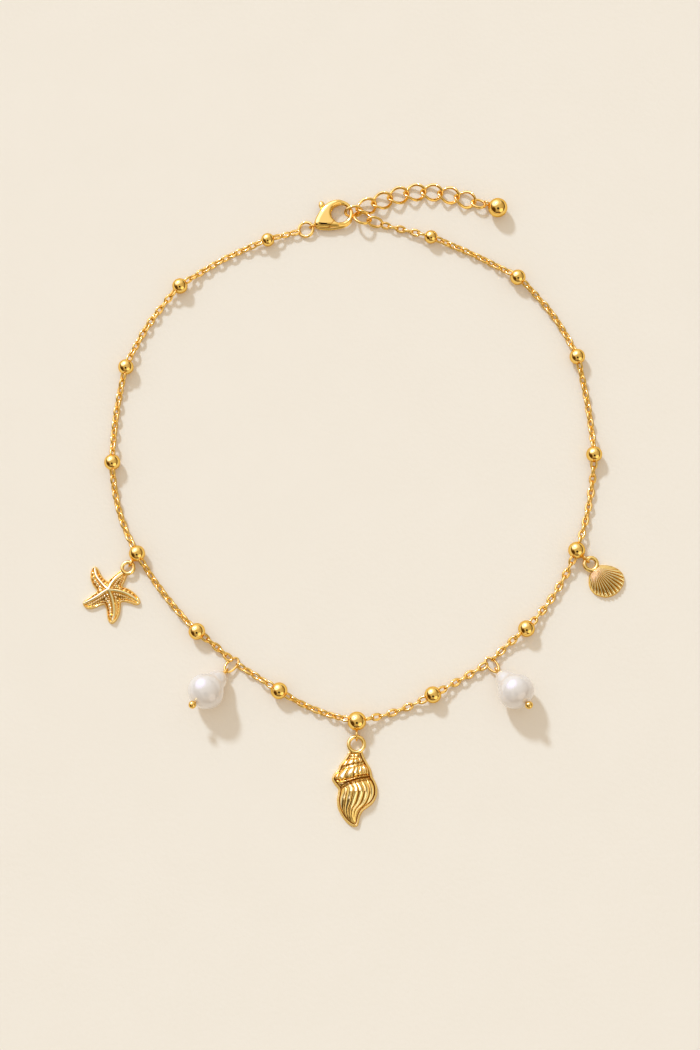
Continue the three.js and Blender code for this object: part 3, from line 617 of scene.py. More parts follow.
class OBJECT_OT_necklace_extender(bpy.types.Operator):
    """Make the twisted curb links of the extender, its small link and its end ball"""

    bl_idname = "object.necklace_extender"
    bl_label = "Extender"

    def execute(self, context):
        for i, heading in enumerate(CURB_HEADINGS):
            tilt = FIRST_CURB_TURN if i == 0 else (0, 0)
            make_ring(f"curb_link_{i + 1}", f"extender_link_{i + 1}",
                      {**CURB, "turn": (*tilt, heading)}, CURB_TWIST, 14)
        make_ring("curb_link_8", "extender_link_8", LAST_LINK)
        self.add_end_ball(**END_BALL)
        return {"FINISHED"}

    def add_end_ball(self, x, y, heading, radius, collar, rise, loop, wire, loop_at, loop_height):
        heading = math.radians(heading)
        dip = math.asin((radius - loop_height) / loop_at)
        centre = SHIFT + Vector((x, y, radius)) * MM
        back = Vector((-math.cos(heading) * math.cos(dip), -math.sin(heading) * math.cos(dip),
                       -math.sin(dip)))
        ball = add_ball(64, 40, radius * MM, centre, back.to_track_quat("Z", "Y").to_euler())
        level = math.sqrt(radius ** 2 - collar ** 2) * MM
        with editing(ball, "FACE"):
            pick(ball, "faces", lambda face: face.calc_center_median().z > level)
            upward = ball.matrix_world.to_3x3() @ Vector((0, 0, rise * MM))
            extrude(upward)
        apply_place(ball)
        ring = add_wire_ring(loop, loop, wire)
        ring.location = centre + back * loop_at * MM
        ring.rotation_euler = (math.radians(90), 0, heading)
        finish_piece(join(ball, apply_place(ring)), "end_ball_drop", ["end_ball"],
                     "mirror_gold")


# ---- chain ----
def span_route(node):
    """The line a span of chain follows: the middles of its CAD tube's sections, in order."""
    points = spots(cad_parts[node])
    ends = points[np.argmax(np.linalg.norm(points - points.mean(0), axis=1))]
    direction = points.mean(0) - ends
    along = points @ (direction / np.linalg.norm(direction))
    order = np.argsort(along)
    cuts = np.where(np.diff(along[order]) > MM)[0] + 1
    sections = np.split(points[order], cuts)
    return np.array([(s.min(0) + s.max(0)) / 2 for s in sections])


def places_along(route, reach, pitch):
    """Middles of the links along a route that runs on by a reach at both ends, and their ways."""
    line = smooth_open(route, 200)
    first, last = line[1] - line[0], line[-1] - line[-2]
    start = line[0] - first / np.linalg.norm(first) * reach
    end = line[-1] + last / np.linalg.norm(last) * reach
    line = np.vstack([start, line, end])
    along = lengths(line)
    # the end links lie inside the stations, so the count is rounded down
    count = max(2, round(along[-1] / pitch - 0.45))
    points = at_lengths(line, along, np.linspace(0, along[-1], 2 * count + 1))
    return [(Vector(points[i]), Vector(points[i + 1] - points[i - 1]))
            for i in range(1, 2 * count, 2)]


class OBJECT_OT_necklace_chain(bpy.types.Operator):
    """Make the cable chain, one joined piece for each span"""

    bl_idname = "object.necklace_chain"
    bl_label = "Cable chain"

    def execute(self, context):
        chain = context.scene.necklace_chain
        template = add_wire_ring(chain.length / MM, chain.width / MM, chain.wire / MM,
                                 rounds=3, fineness=1)
        pitch = chain.length - 2 * chain.wire + LINK_PLAY * MM
        play = random.Random(7)
        for index, (node, first_roll) in enumerate(zip(SPANS, LINK_ROLLS)):
            links = []
            places = places_along(span_route(node), CHAIN_REACH * MM, pitch)
            for i, (centre, heading) in enumerate(places):
                roll = first_roll + 90 * (i % 2) + play.uniform(-LINK_STRAY, LINK_STRAY)
                link = template.copy()
                link.data = template.data.copy()
                context.collection.objects.link(link)
                turn = heading.to_track_quat("X", "Z").to_matrix().to_4x4()
                rolled = Matrix.Rotation(math.radians(roll), 4, "X")
                link.matrix_world = above_floor(link, Matrix.Translation(centre) @ turn @ rolled)
                links.append(link)
            finish_piece(join(*links), f"cable_links_{index + 1:02d}", [node],
                         "bright_wire")
        bpy.data.objects.remove(template)
        return {"FINISHED"}


# ---- station beads ----
def add_drilled_bead(centre, diameter, axis):
    """Adds a round bead with a drilled hole at each end of its axis."""
    radius = diameter / 2 * MM
    bead = add_ball(56, 44, radius, centre, axis.to_track_quat("Z", "Y").to_euler())
    level = math.sqrt(radius ** 2 - (BEAD_HOLE * MM) ** 2)
    with editing(bead, "FACE"):
        for end in (1, -1):
            pick(bead, "faces", lambda face: face.calc_center_median().z * end > level)
            bpy.ops.mesh.inset(thickness=BEAD_RIM * MM)
            inward = bead.matrix_world.to_3x3() @ Vector((0, 0, -end * BEAD_DEPTH * MM))
            extrude(inward)
    smooth_under(40)
    return bead


def chain_way(centre, ends):
    """The way the chain passes through a station: between the two span ends nearest to it."""
    near = sorted(ends, key=lambda end: (end - centre).length)
    return (near[1] - near[0]).normalized()


class OBJECT_OT_necklace_beads(bpy.types.Operator):
    """Make the round station beads, and the loops soldered under the three that hold charms"""

    bl_idname = "object.necklace_beads"
    bl_label = "Station beads"

    def execute(self, context):
        ends = [Vector(route[end]) for route in map(span_route, SPANS) for end in (0, -1)]
        for node in PLAIN_BEADS:
            low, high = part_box(node)
            centre = (low + high) / 2
            bead = add_drilled_bead(centre, (high.z - low.z) / MM, chain_way(centre, ends))
            finish_piece(bead, f"station_{node}", [node], "mirror_gold")
        for row in HANGERS.values():
            centre = SHIFT + Vector((row["x"], row["y"], row["size"] / 2)) * MM
            bead = apply_place(add_drilled_bead(centre, row["size"], chain_way(centre, ends)))
            finish_piece(join(bead, self.add_hanging_loop(row)), f"station_{row['bead']}",
                         [row["bead"]], "mirror_gold")
        return {"FINISHED"}

    def add_hanging_loop(self, row):
        """The upright loop from the bead's underside through the charm's eye."""
        way = Vector((row["eye_x"] - row["x"], row["eye_y"] - row["y"], 0))
        wire = HANGING_LOOP["wire"]
        near = row["size"] / 2 - HANGING_LOOP["in_bead"]
        far = way.length - row["hole"] / 2 + HANGING_LOOP["in_eye"]
        loop = add_wire_ring(far - near + wire, HANGING_LOOP["width"], wire)
        centre = Vector((row["x"], row["y"], EYE_HEIGHT)) + way.normalized() * (near + far) / 2
        loop.location = SHIFT + centre * MM
        loop.rotation_euler = (math.radians(90), 0, math.atan2(way.y, way.x))
        return apply_place(loop)


# ---- charms ----
def add_sheet(columns, rows, place):
    """Adds a fine grid, its points where place(u, v) says, in mm, for u and v from 0 to 1."""
    deselect()
    bpy.ops.mesh.primitive_grid_add(x_subdivisions=columns, y_subdivisions=rows, size=2)
    u, v = (spots(bpy.context.object)[:, :2].T + 1) / 2
    return move_spots(bpy.context.object, place(u, v))


def close_below(sheet):
    """Joins a relief's doubled points, and gives it a wall and a flat back on the surface."""
    with editing(sheet, "EDGE"):
        bpy.ops.mesh.select_all(action="SELECT")
        bpy.ops.mesh.remove_doubles(threshold=1e-7)
        pick_open_edges(sheet)
        extrude((0, 0, -MM))
        mesh = bmesh.from_edit_mesh(sheet.data)
        for vertex in mesh.verts:
            if vertex.select:
                vertex.co.z = 0
        bmesh.update_edit_mesh(sheet.data)
        bpy.ops.mesh.edge_face_add()
        face_outwards()
    smooth_under(60)
    return sheet


def add_eye(row):
    outer, hole = row["outer"], row["hole"]
    eye = add_wire_ring(outer, outer, (outer - hole) / 2, fineness=6)
    eye.location = Vector((row["eye_x"], row["eye_y"], EYE_HEIGHT)) * MM
    return apply_place(eye)


def rise(value, start, width):
    """0 up to a start, then rising to 1 over a width."""
    return np.clip((value - start) / width, 0, 1)


def dome(share):
    return np.sqrt(np.clip(1 - np.clip(1 - share, 0, 1) ** 2, 0, 1))


def groove(value, width):
    """1 on a line and 0 beyond its width, rounded."""
    return np.exp(-(value / width) ** 2)


def add_relief(name, outline, middle, form, columns, rows):
    """Adds a charm's body: rows of points from a middle out to its outline, closed below.

    form gives each point's height and how much shade is painted on it, 0 to 1, or how much highlight
    is painted on it, as a value below 0.
    """
    loop = np.vstack([outline, outline[:1]])
    along = lengths(loop)

    def place(u, v):
        edge = at_lengths(loop, along, u * along[-1])
        points = np.array(middle) + (edge - np.array(middle)) * v[:, None]
        return np.column_stack([points, form(points, outline)[0]])
    body = close_below(add_sheet(columns, rows, place))
    # the painted shade and highlight go on each point as an attribute that the finish reads
    recess = body.data.attributes.new("recess", "FLOAT", "POINT")
    recess.data.foreach_set("value", form(spots(body)[:, :2] / MM, outline)[1])
    charm = join(body, add_eye(HANGERS[name]))
    charm.location = SHIFT
    finish_piece(charm, f"{name}_relief", [f"{name}_charm"], "relief_gold")


def from_line(points, line):
    """Distance of each point from a line, how far along the line that is, and on which side."""
    nearest = np.full(len(points), 1e9)
    reach, side = np.zeros(len(points)), np.zeros(len(points))
    done = 0.0
    for start, end in zip(line, line[1:]):
        step = end - start
        length = np.linalg.norm(step)
        share = np.clip(((points - start) @ step) / length ** 2, 0, 1)
        away = points - start - share[:, None] * step
        distance = np.linalg.norm(away, axis=1)
        closer = distance < nearest
        nearest[closer] = distance[closer]
        reach[closer] = (done + share * length)[closer]
        side[closer] = np.sign(step[0] * away[:, 1] - step[1] * away[:, 0])[closer]
        done += length
    return nearest, reach, side, done


class OBJECT_OT_necklace_starfish(bpy.types.Operator):
    """Make the starfish: a rim, five bent ridges and the grains between them"""

    bl_idname = "object.necklace_starfish"
    bl_label = "Starfish charm"

    # Which side of each ridge has fine slanted grains in place of round ones
    fine_sides = [-1, 0, 1, 1, -1]

    def execute(self, context):
        add_relief("starfish", smooth_closed(STAR_OUTLINE, 8), STAR_MIDDLE, self.form, 620, 116)
        return {"FINISHED"}

    def form(self, points, outline):
        gap = edge_distance(points, outline)
        nearest = np.full(len(points), 1e9)
        reach, side, length, fine = (np.zeros(len(points)) for _ in range(4))
        for ridge, fine_side in zip(STAR_RIDGES, self.fine_sides):
            found = from_line(points, smooth_open([STAR_MIDDLE, *ridge], 24))
            closer = found[0] < nearest
            nearest[closer], reach[closer], side[closer] = (f[closer] for f in found[:3])
            length[closer] = found[3]
            fine[closer] = (side[closer] == fine_side) & (fine_side != 0)
        # the arm's crown, and the ridge along it with a furrow beside
        half = nearest + gap
        share = reach / length
        crown = 2.25 - 0.8 * share
        out = np.clip(nearest / np.maximum(half - 0.5, 0.12), 0, 1)
        body = 0.62 + (crown - 1.05) * (1 - out ** 3)
        ridge = dome((0.44 - nearest) / 0.44)
        body += 0.42 * ridge - 0.14 * groove(nearest - 0.54, 0.12)
        middle = np.hypot(*(points - np.array(STAR_MIDDLE)).T)
        body += 0.2 * groove(middle, 0.9)
        # grains between the ridge and the rim: one row of round ones, or two of fine ones
        shown = rise(middle, 0.9, 0.4) * np.clip((0.96 - share) * 12, 0, 1)
        shown *= rise(nearest, 0.48, 0.12) * rise(gap, 0.4, 0.12)
        band = half - 0.88
        beside = nearest - 0.5
        round_ones = self.grains(beside - 0.5 * band, reach, np.clip(band * 0.6, 0.24, 0.47), 0.98)
        small = np.maximum(self.grains(beside - 0.28 * band, reach, 0.23),
                           self.grains(beside - 0.76 * band, reach + 0.3, 0.22))
        more = np.maximum(self.grains(nearest - 0.8, reach + 0.15, 0.22),
                          self.grains(gap - 0.78, reach + 0.4, 0.22)) * rise(band, 1.0, 0.2)
        grain = np.maximum(np.where(fine > 0, small, round_ones), more)
        body += shown * grain
        # painted shade between the grains, and painted highlights on the grains' tops and on the
        # ridge
        recess = shown * np.clip(1 - (grain + 0.04) / 0.1, 0, 1)
        recess -= 1.2 * shown * np.clip(grain / 0.16 - 0.2, 0, 1) + 0.9 * ridge
        # the rim, and a soft step down to it
        rim = dome(gap / 0.3) - 0.1 * rise(gap, 0.3, 0.2)
        blend = rise(gap, 0.34, 0.12)
        blend = blend * blend * (3 - 2 * blend)
        height = rim * (1 - blend) + np.maximum(body, 0.6) * blend
        # the rim and the step to it carry a faint painted highlight
        return height, recess * blend - 0.3 * (1 - blend)

    def grains(self, across, reach, ball, pitch=0.6):
        """A row of round grains along an arm."""
        beat = reach / pitch
        near = np.hypot(across, (beat - np.round(beat)) * pitch) / ball
        return 1.05 * ball * np.sqrt(np.clip(1 - near ** 2, 0, 1)) - 0.04


class OBJECT_OT_necklace_scallop(bpy.types.Operator):
    """Make the scallop: a low fan with rounded ribs"""

    bl_idname = "object.necklace_scallop"
    bl_label = "Scallop charm"

    def execute(self, context):
        outline = smooth_closed(SCALLOP_OUTLINE, 12)
        add_relief("scallop", outline, SCALLOP_MIDDLE, self.form, 600, 84)
        return {"FINISHED"}

    def form(self, points, outline):
        gap = edge_distance(points, outline)
        x, y = (points - np.array(UMBO)).T
        reach = np.hypot(x, y)
        turn = np.degrees(np.arctan2(y, x))
        rib = np.abs(np.sin(np.pi * (turn + RIB_START) / RIB_PITCH)) ** 0.6
        middle = np.hypot(*(points - np.array(SCALLOP_CROWN)).T)
        share = gap / (gap + middle)
        body = 0.62 + 1.5 * dome(share * 1.05) ** 1.1
        # the ribs sink toward the shell's plain upper side
        shown = np.clip((14 - turn) / 24, 0.38, 1) * rise(gap, 0.02, 0.2)
        size = np.clip(reach * 0.085, 0, 0.56)
        body += shown * size * (rib - 0.72) + 0.28 * groove(reach, 1.0)
        rim = 0.78 * dome(gap / 0.14)
        blend = rise(gap, 0.1, 0.1)
        # painted shade in the gaps between ribs, mostly on the shell's lower side, and painted
        # highlights on the ribs' tops
        recess = np.clip((0.55 - rib) / 0.25, 0, 1) * rise(reach, 1, 4)
        recess *= np.clip(0.4 - turn / 80, 0, 1)
        recess -= 0.9 * rise(rib, 0.72, 0.2)
        return rim * (1 - blend) + np.maximum(body, 0.45) * blend, recess * shown


class OBJECT_OT_necklace_conch(bpy.types.Operator):
    """Make the conch: a plain rim, the spire's whorls and the body whorl, all ribbed"""

    bl_idname = "object.necklace_conch"
    bl_label = "Conch charm"

    # How far the line under each whorl stands out, and how deep the grooves beside it are, in mm
    edges = [(0.08, 0.1), (0.24, 0.2), (0.2, 0.22), (0.0, 0.3)]

    def execute(self, context):
        add_relief("conch", smooth_closed(CONCH_OUTLINE, 10), CONCH_MIDDLE, self.form, 560, 150)
        return {"FINISHED"}

    def form(self, points, outline):
        x, y = points.T
        gap = edge_distance(points, outline)
        levels, left, right = self.sides(outline)
        left, right = np.interp(y, levels, left), np.interp(y, levels, right)
        # inside the plain rim, the back rises to a crown
        inner = gap - CONCH_RIM
        half = np.maximum((right - left) / 2 - CONCH_RIM, 0.35)
        crown = np.interp(y, *zip(*CONCH_BACK))
        inside = np.clip(inner / half, 0, 1)
        body = 0.95 + (crown - 0.95) * (1 - (1 - inside) ** 1.75)
        across = (x - left) / np.maximum(right - left, 0.1)
        top = np.full(len(x), CONCH_TOP)
        recess = np.zeros(len(x))
        fade = rise(inner, 0, 0.3) * np.clip(half / 1.2, 0.3, 1)
        for whorl in WHORLS:
            low = np.interp(x, *zip(*whorl["under"]))
            within = (y <= top) & (y > low)
            down = np.clip((top - y) / np.maximum(top - low, 0.2), 0, 1)
            phase = np.interp(across, whorl["grooves"], np.arange(len(whorl["grooves"])))
            rib = np.abs(np.sin(np.pi * phase)) ** 0.42
            arch = np.sin(np.pi * np.clip(down, 0.02, 0.98) ** 0.8) ** 0.5
            ribbed = whorl["rib"] * rise(y, CONCH_TIP + 1.6, 3)
            body += within * fade * (whorl["swell"] * (arch - 0.7) + ribbed * (rib * arch - 0.65))
            # painted shade between the ribs and painted highlights on their tops
            painted_rib_light = 0.9 * np.clip((0.6 - rib) / 0.25, 0, 1) - 0.7 * rise(rib * arch, 0.8, 0.15)
            recess += within * painted_rib_light * np.clip(ribbed * 3, 0, 1)
            top = low
        ends = rise(inner, 0, 0.4)
        for whorl, (lift, deep) in zip(WHORLS, self.edges):
            line = y - np.interp(x, *zip(*whorl["under"]))
            body += ends * (lift * groove(line, 0.17) - deep * groove(line - 0.36, 0.16)
                            - 0.6 * deep * groove(line + 0.34, 0.14))
            # painted shade in the grooves beside each whorl's line
            recess += 0.9 * (groove(line - 0.36, 0.17) + 0.6 * groove(line + 0.34, 0.14))
        body = np.maximum(body, 0.7) - 0.3 * groove(gap - 0.66, 0.1)
        blend = rise(gap, 0.5, 0.12)
        # painted shade in the groove inside the rim, and a faint painted highlight on the rim itself
        recess = np.clip(recess + groove(gap - 0.66, 0.13), -1, 1) * blend - 0.2 * (1 - blend)
        return dome(gap / 0.3) * (1 - blend) + np.maximum(body, 0.5) * blend, recess

    def sides(self, outline):
        """The outline's left and right edge at a row of levels."""
        levels = np.linspace(outline[:, 1].min() + 0.02, outline[:, 1].max() - 0.02, 160)
        after = np.roll(outline, -1, 0)
        edges = []
        for level in levels:
            cross = (outline[:, 1] - level) * (after[:, 1] - level) <= 0
            share = (level - outline[cross, 1]) / (after[cross, 1] - outline[cross, 1] + 1e-12)
            spots = outline[cross, 0] + share * (after[cross, 0] - outline[cross, 0])
            edges.append((spots.min(), spots.max()))
        return levels, *zip(*edges)


# ---- pearls ----
class OBJECT_OT_necklace_pearls(bpy.types.Operator):
    """Make the two drop pearls, their head pins and their rings"""

    bl_idname = "object.necklace_pearls"
    bl_label = "Drop pearls"

    def execute(self, context):
        for index, (side, row) in enumerate(PEARLS.items()):
            belly = SHIFT + Vector((row["x"], row["y"], BELLY_HEIGHT)) * MM
            hold = middle_of(row["ring"])
            heading = math.atan2(hold.y - belly.y, hold.x - belly.x)
            dip = math.asin((BELLY_HEIGHT - EYE_HEIGHT) / PIN["loop_at"])
            place = (Matrix.Translation(belly) @ Matrix.Rotation(heading - math.pi / 2, 4, "Z")
                     @ Matrix.Rotation(-dip, 4, "X"))
            pearl, pin = self.add_drop(index, context.scene.necklace_pearl), self.add_head_pin()
            for piece in (pearl, pin):
                piece.matrix_world = place @ piece.matrix_world
            finish_piece(pearl, f"drop_pearl_{side}", [f"pearl_{side}"],
                         "drop_nacre")
            finish_piece(pin, f"ball_pin_{side}", [f"head_pin_{side}"],
                         "mirror_gold")
            row = {**PEARL_RING, "turn": (0, PEARL_RING_PITCH, math.degrees(heading))}
            make_ring(f"wire_pearl_ring_{side}", f"pearl_ring_{side}", row)
        return {"FINISHED"}

    def add_drop(self, index, pearl):
        """A round ball drawn out to a neck, slightly out of true, with ridges round the neck."""
        drop = add_ball(96, 90, 1)
        rows = smooth_open(PEARL_ROWS, 240)
        levels = np.linspace(0, 1, len(rows))
        for vertex in drop.data.vertices:
            turn = math.atan2(vertex.co.y, vertex.co.x)
            at = math.acos(max(-1.0, min(1.0, -vertex.co.z))) / math.pi
            along, radius = (float(np.interp(at, levels, rows[:, i])) for i in (0, 1))
            radius = max(radius, 0.0)
            uneven = sum(share * math.cos((i + 2) * turn + (i + 1) * index)
                         for i, share in enumerate(OUT_OF_TRUE))
            neck = max(0.0, min(1.0, (along - 0.4) / 2.0)) * max(0.0, min(1.0, (6.2 - along) * 2))
            wave = math.cos(along * 2 * math.pi / RIDGE_PITCH + RIDGE_SWAY * math.cos(turn))
            radius = radius * (1 + uneven) - pearl.ripple / MM * neck * (0.5 + 0.5 * wave)
            vertex.co = Vector((radius * math.cos(turn), along, radius * math.sin(turn))) * MM
        with editing(drop):
            face_outwards()
        return drop

    def add_head_pin(self):
        """A wire through the pearl, with a ball under it, and a coil and a closed loop above."""
        wire = PIN["wire"] / 2
        top, low = PIN["loop_at"] - PIN["loop"] / 2 + wire, PIN["ball_at"]
        ball = apply_place(add_ball(40, 28, PIN["ball"] * MM, (0, low * MM, 0)))
        bpy.ops.mesh.primitive_cylinder_add(
            vertices=20, radius=wire * MM, depth=(top - low) * MM,
            location=(0, (top + low) / 2 * MM, 0), rotation=(math.radians(90), 0, 0))
        smooth_under(40)
        parts = [ball, apply_place(bpy.context.object)]
        for step in range(2):
            coil = add_wire_ring(PIN["coil"], PIN["coil"], PIN["coil_wire"], fineness=3)
            coil.location = (0, (PIN["coil_at"] + PIN["coil_step"] * step) * MM, 0)
            coil.rotation_euler = degrees(90 + PIN["coil_lean"], 0, 0)
            parts.append(apply_place(coil))
        loop = add_wire_ring(PIN["loop"], PIN["loop"], PIN["wire"])
        loop.location = (0, PIN["loop_at"] * MM, 0)
        loop.rotation_euler = (0, math.radians(90), 0)
        return join(*parts, apply_place(loop))


# ---- clasp ----
def add_prism(points, levels):
    """Adds an upright prism over a plane outline between two levels, in mm."""
    low, high = levels
    deselect()
    bpy.ops.mesh.primitive_circle_add(vertices=len(points), radius=1, fill_type="NGON")
    prism = bpy.context.object
    for vertex, (x, y) in zip(prism.data.vertices, points):
        vertex.co = (x * MM, y * MM, low * MM)
    with editing(prism):
        bpy.ops.mesh.select_all(action="SELECT")
        extrude((0, 0, (high - low) * MM))
        face_outwards()
    return prism


def pie(radius, low, high, steps=16):
    """Outline of a slice of a disc round the lever's pin, the pin's middle first."""
    x, y = CLASP_PIVOT
    turns = np.radians(np.linspace(low, high, steps))
    return [(x, y)] + [(x + radius * math.cos(t), y + radius * math.sin(t)) for t in turns]


def bar(start, angle, length, half):
    """Outline of a straight bar with a round far end."""
    c, s = math.cos(math.radians(angle)), math.sin(math.radians(angle))
    ends = [(length + half * math.sin(t), -half * math.cos(t)) for t in np.linspace(0, np.pi, 9)]
    return [(start[0] + a * c - b * s, start[1] + a * s + b * c)
            for a, b in [(0, -half), *ends, (0, half)]]


def cut(piece, *tools):
    """Cuts tools out of a piece and deletes them."""
    for tool in tools:
        select_only(piece)
        boolean = piece.modifiers.new("cut", "BOOLEAN")
        boolean.operation = "DIFFERENCE"
        boolean.solver = "EXACT"
        boolean.object = tool
        bpy.ops.object.modifier_apply(modifier=boolean.name)
        bpy.data.objects.remove(tool)
    return piece


class OBJECT_OT_necklace_clasp(bpy.types.Operator):
    """Make the lobster clasp's domed body with its hook, and its thumb lever with the gate"""

    bl_idname = "object.necklace_clasp"
    bl_label = "Lobster clasp"

    def execute(self, context):
        body = self.add_hook_and_body()
        gate = self.part_gate(body)
        tab = self.add_tab()
        # room for the tab from stop to stop, for the gate's arm, and for the lever's hub
        slots = [pie(*TAB_SLOT), *(bar(CLASP_PIVOT, angle, *TAB_STOP) for angle in TAB_ANGLES),
                 pie(*ARM_SLOT)]
        slots = [add_prism(slot, SLOT_LEVELS) for slot in slots]
        slit = add_prism(bar(*SLIT), (SLIT_FLOOR, 3.0))
        hub_slot = add_prism(pie(*HUB_SLOT)[1:], SLOT_LEVELS)
        body = cut(body, *slots, slit, hub_slot)
        self.paint_slit_shadow(body)
        select_only(body)
        smooth_under(35)
        eye = add_wire_ring(CLASP_EYE["size"], CLASP_EYE["size"], CLASP_EYE["wire"])
        eye.location = Vector(CLASP_EYE["at"]) * MM
        eye.rotation_euler = degrees(*CLASP_EYE["turn"])
        body = join(body, apply_place(eye), self.add_flank())
        hub = add_prism(pie(*HUB)[1:], LEVER_LEVELS)
        arm = add_prism(bar(CLASP_PIVOT, *ARM), LEVER_LEVELS)
        lever = join(gate, tab, hub, arm)
        for piece in (body, lever):
            piece.location = SHIFT + Vector((*CLASP_AT, 0)) * MM
        finish_piece(body, "lobster_clasp", ["clasp_body"], "clasp_polish")
        finish_piece(lever, "thumb_lever", ["clasp_lever"], "clasp_polish", LEVER)
        return {"FINISHED"}

    def paint_slit_shadow(self, body):
        """Marks the slit's walls and floor for a near-black painted shadow in the finish."""
        (start, angle, length, half), near = SLIT, 0.03
        c, s = math.cos(math.radians(angle)), math.sin(math.radians(angle))
        recess = body.data.attributes.new("recess", "FLOAT", "FACE")
        for face in body.data.polygons:
            x, y, z = face.center / MM
            along = (x - start[0]) * c + (y - start[1]) * s
            across = (y - start[1]) * c - (x - start[0]) * s
            inside = -near < along < length + half + near and abs(across) < half + near
            deep = abs(face.normal.z) < 0.5 or z < SLIT_FLOOR + near
            recess.data[face.index].value = float(inside and deep and z > SLIT_FLOOR - near)

    def add_hook_and_body(self):
        """A thick ring reshaped: its section runs from the hole to the clasp's outer edge."""
        deselect()
        bpy.ops.mesh.primitive_torus_add(
            major_segments=240, minor_segments=48, major_radius=CLASP_RING, minor_radius=0.5)
        edge = smooth_closed(CLASP_EDGE, 16)
        turns = np.arctan2(edge[:, 1], edge[:, 0]) % (2 * np.pi)
        order = np.argsort(turns)
        x, y, z = spots(bpy.context.object).T
        turn = np.arctan2(y, x)
        section = np.arctan2(z, np.hypot(x, y) - CLASP_RING)
        outer = np.interp(turn % (2 * np.pi), turns[order], np.hypot(*edge.T)[order],
                          period=2 * np.pi)
        width = outer - CLASP_HOLE
        radius = CLASP_HOLE + width * (0.5 + 0.5 * np.cos(section))
        # the hook thins where a link passes round it
        thin = rise(radius * np.cos(turn), -1.3, 2.5)
        thin = thin * thin * (3 - 2 * thin)
        thick = BODY_THICK + (HOOK_THICK - BODY_THICK) * thin
        level = BODY_THICK + (HOOK_LEVEL - BODY_THICK) * thin
        outside = dome((outer - radius) / np.minimum(width / 2, 1.4)) ** 0.75
        inside = dome((radius - CLASP_HOLE) / np.minimum(width / 2, 0.62))
        high = level + np.sign(z) * thick * outside * inside
        places = np.stack([radius * np.cos(turn), radius * np.sin(turn), high], 1)
        return move_spots(bpy.context.object, places)

    def add_flank(self):
        """The body's low outer side, along which the gate lies."""
        deselect()
        line = smooth_open(CLASP_FLANK, 40)
        bpy.ops.curve.primitive_nurbs_path_add()
        bpy.ops.object.mode_set(mode="EDIT")
        bpy.ops.curve.select_all(action="SELECT")
        bpy.ops.curve.delete(type="VERT")
        bpy.ops.object.mode_set(mode="OBJECT")
        flank = bpy.context.object
        path = flank.data.splines.new("POLY")
        path.points.add(len(line) - 1)
        for point, (x, y, z, thick) in zip(path.points, line):
            point.co, point.radius = (x * MM, y * MM, z * MM, 1), thick
        flank.data.bevel_depth = MM
        flank.data.bevel_resolution = 6
        flank.data.use_fill_caps = True
        bpy.ops.object.convert(target="MESH")
        smooth_under(40)
        return bpy.context.object

    def part_gate(self, body):
        """Takes the gate's stretch out of the hook as a piece of its own, and closes both."""
        with editing(body, "FACE"):
            pick(body, "faces", self.in_gate)
            bpy.ops.mesh.separate(type="SELECTED")
        gate = next(o for o in bpy.context.selected_objects if o is not body)
        for piece in (body, gate):
            with editing(piece, "EDGE"):
                pick_open_edges(piece)
                bpy.ops.mesh.edge_face_add()
                face_outwards()
            smooth_under(35)
        # the gate is a little slimmer and shorter than the hook that it closes
        middle = math.radians(sum(GATE_ANGLES) / 2)
        for vertex in gate.data.vertices:
            x, y, z = vertex.co / MM
            turn = (math.atan2(y, x) - middle + math.pi) % (2 * math.pi) - math.pi
            turn = middle + turn * GATE["short"]
            radius = GATE["middle"] + (math.hypot(x, y) - GATE["middle"]) * GATE["slim"]
            level = GATE["level"] + (z - GATE["level"]) * GATE["thin"]
            vertex.co = Vector((radius * math.cos(turn), radius * math.sin(turn), level)) * MM
        return gate

    def in_gate(self, face):
        middle = face.calc_center_median()
        turn = math.degrees(math.atan2(middle.y, middle.x)) % 360
        return GATE_ANGLES[0] < turn < GATE_ANGLES[1]

    def add_tab(self):
        """The thumb tab: a rounded peg that stands out of the body's upper side."""
        angle = math.radians(TAB_ANGLES[0])
        away = Vector((math.cos(angle), math.sin(angle), 0))
        foot = Vector((*CLASP_PIVOT, GATE["level"]))
        deselect()
        bpy.ops.mesh.primitive_cube_add(
            size=MM, location=(foot + away * TAB_SHANK_AT) * MM, rotation=(0, 0, angle),
            scale=TAB_SHANK)
        shank = apply_place(bpy.context.object)
        tip = add_ball(40, 24, MM, (foot + away * TAB_TIP_AT) * MM, (0, 0, angle), TAB_TIP)
        return join(shank, apply_place(tip))


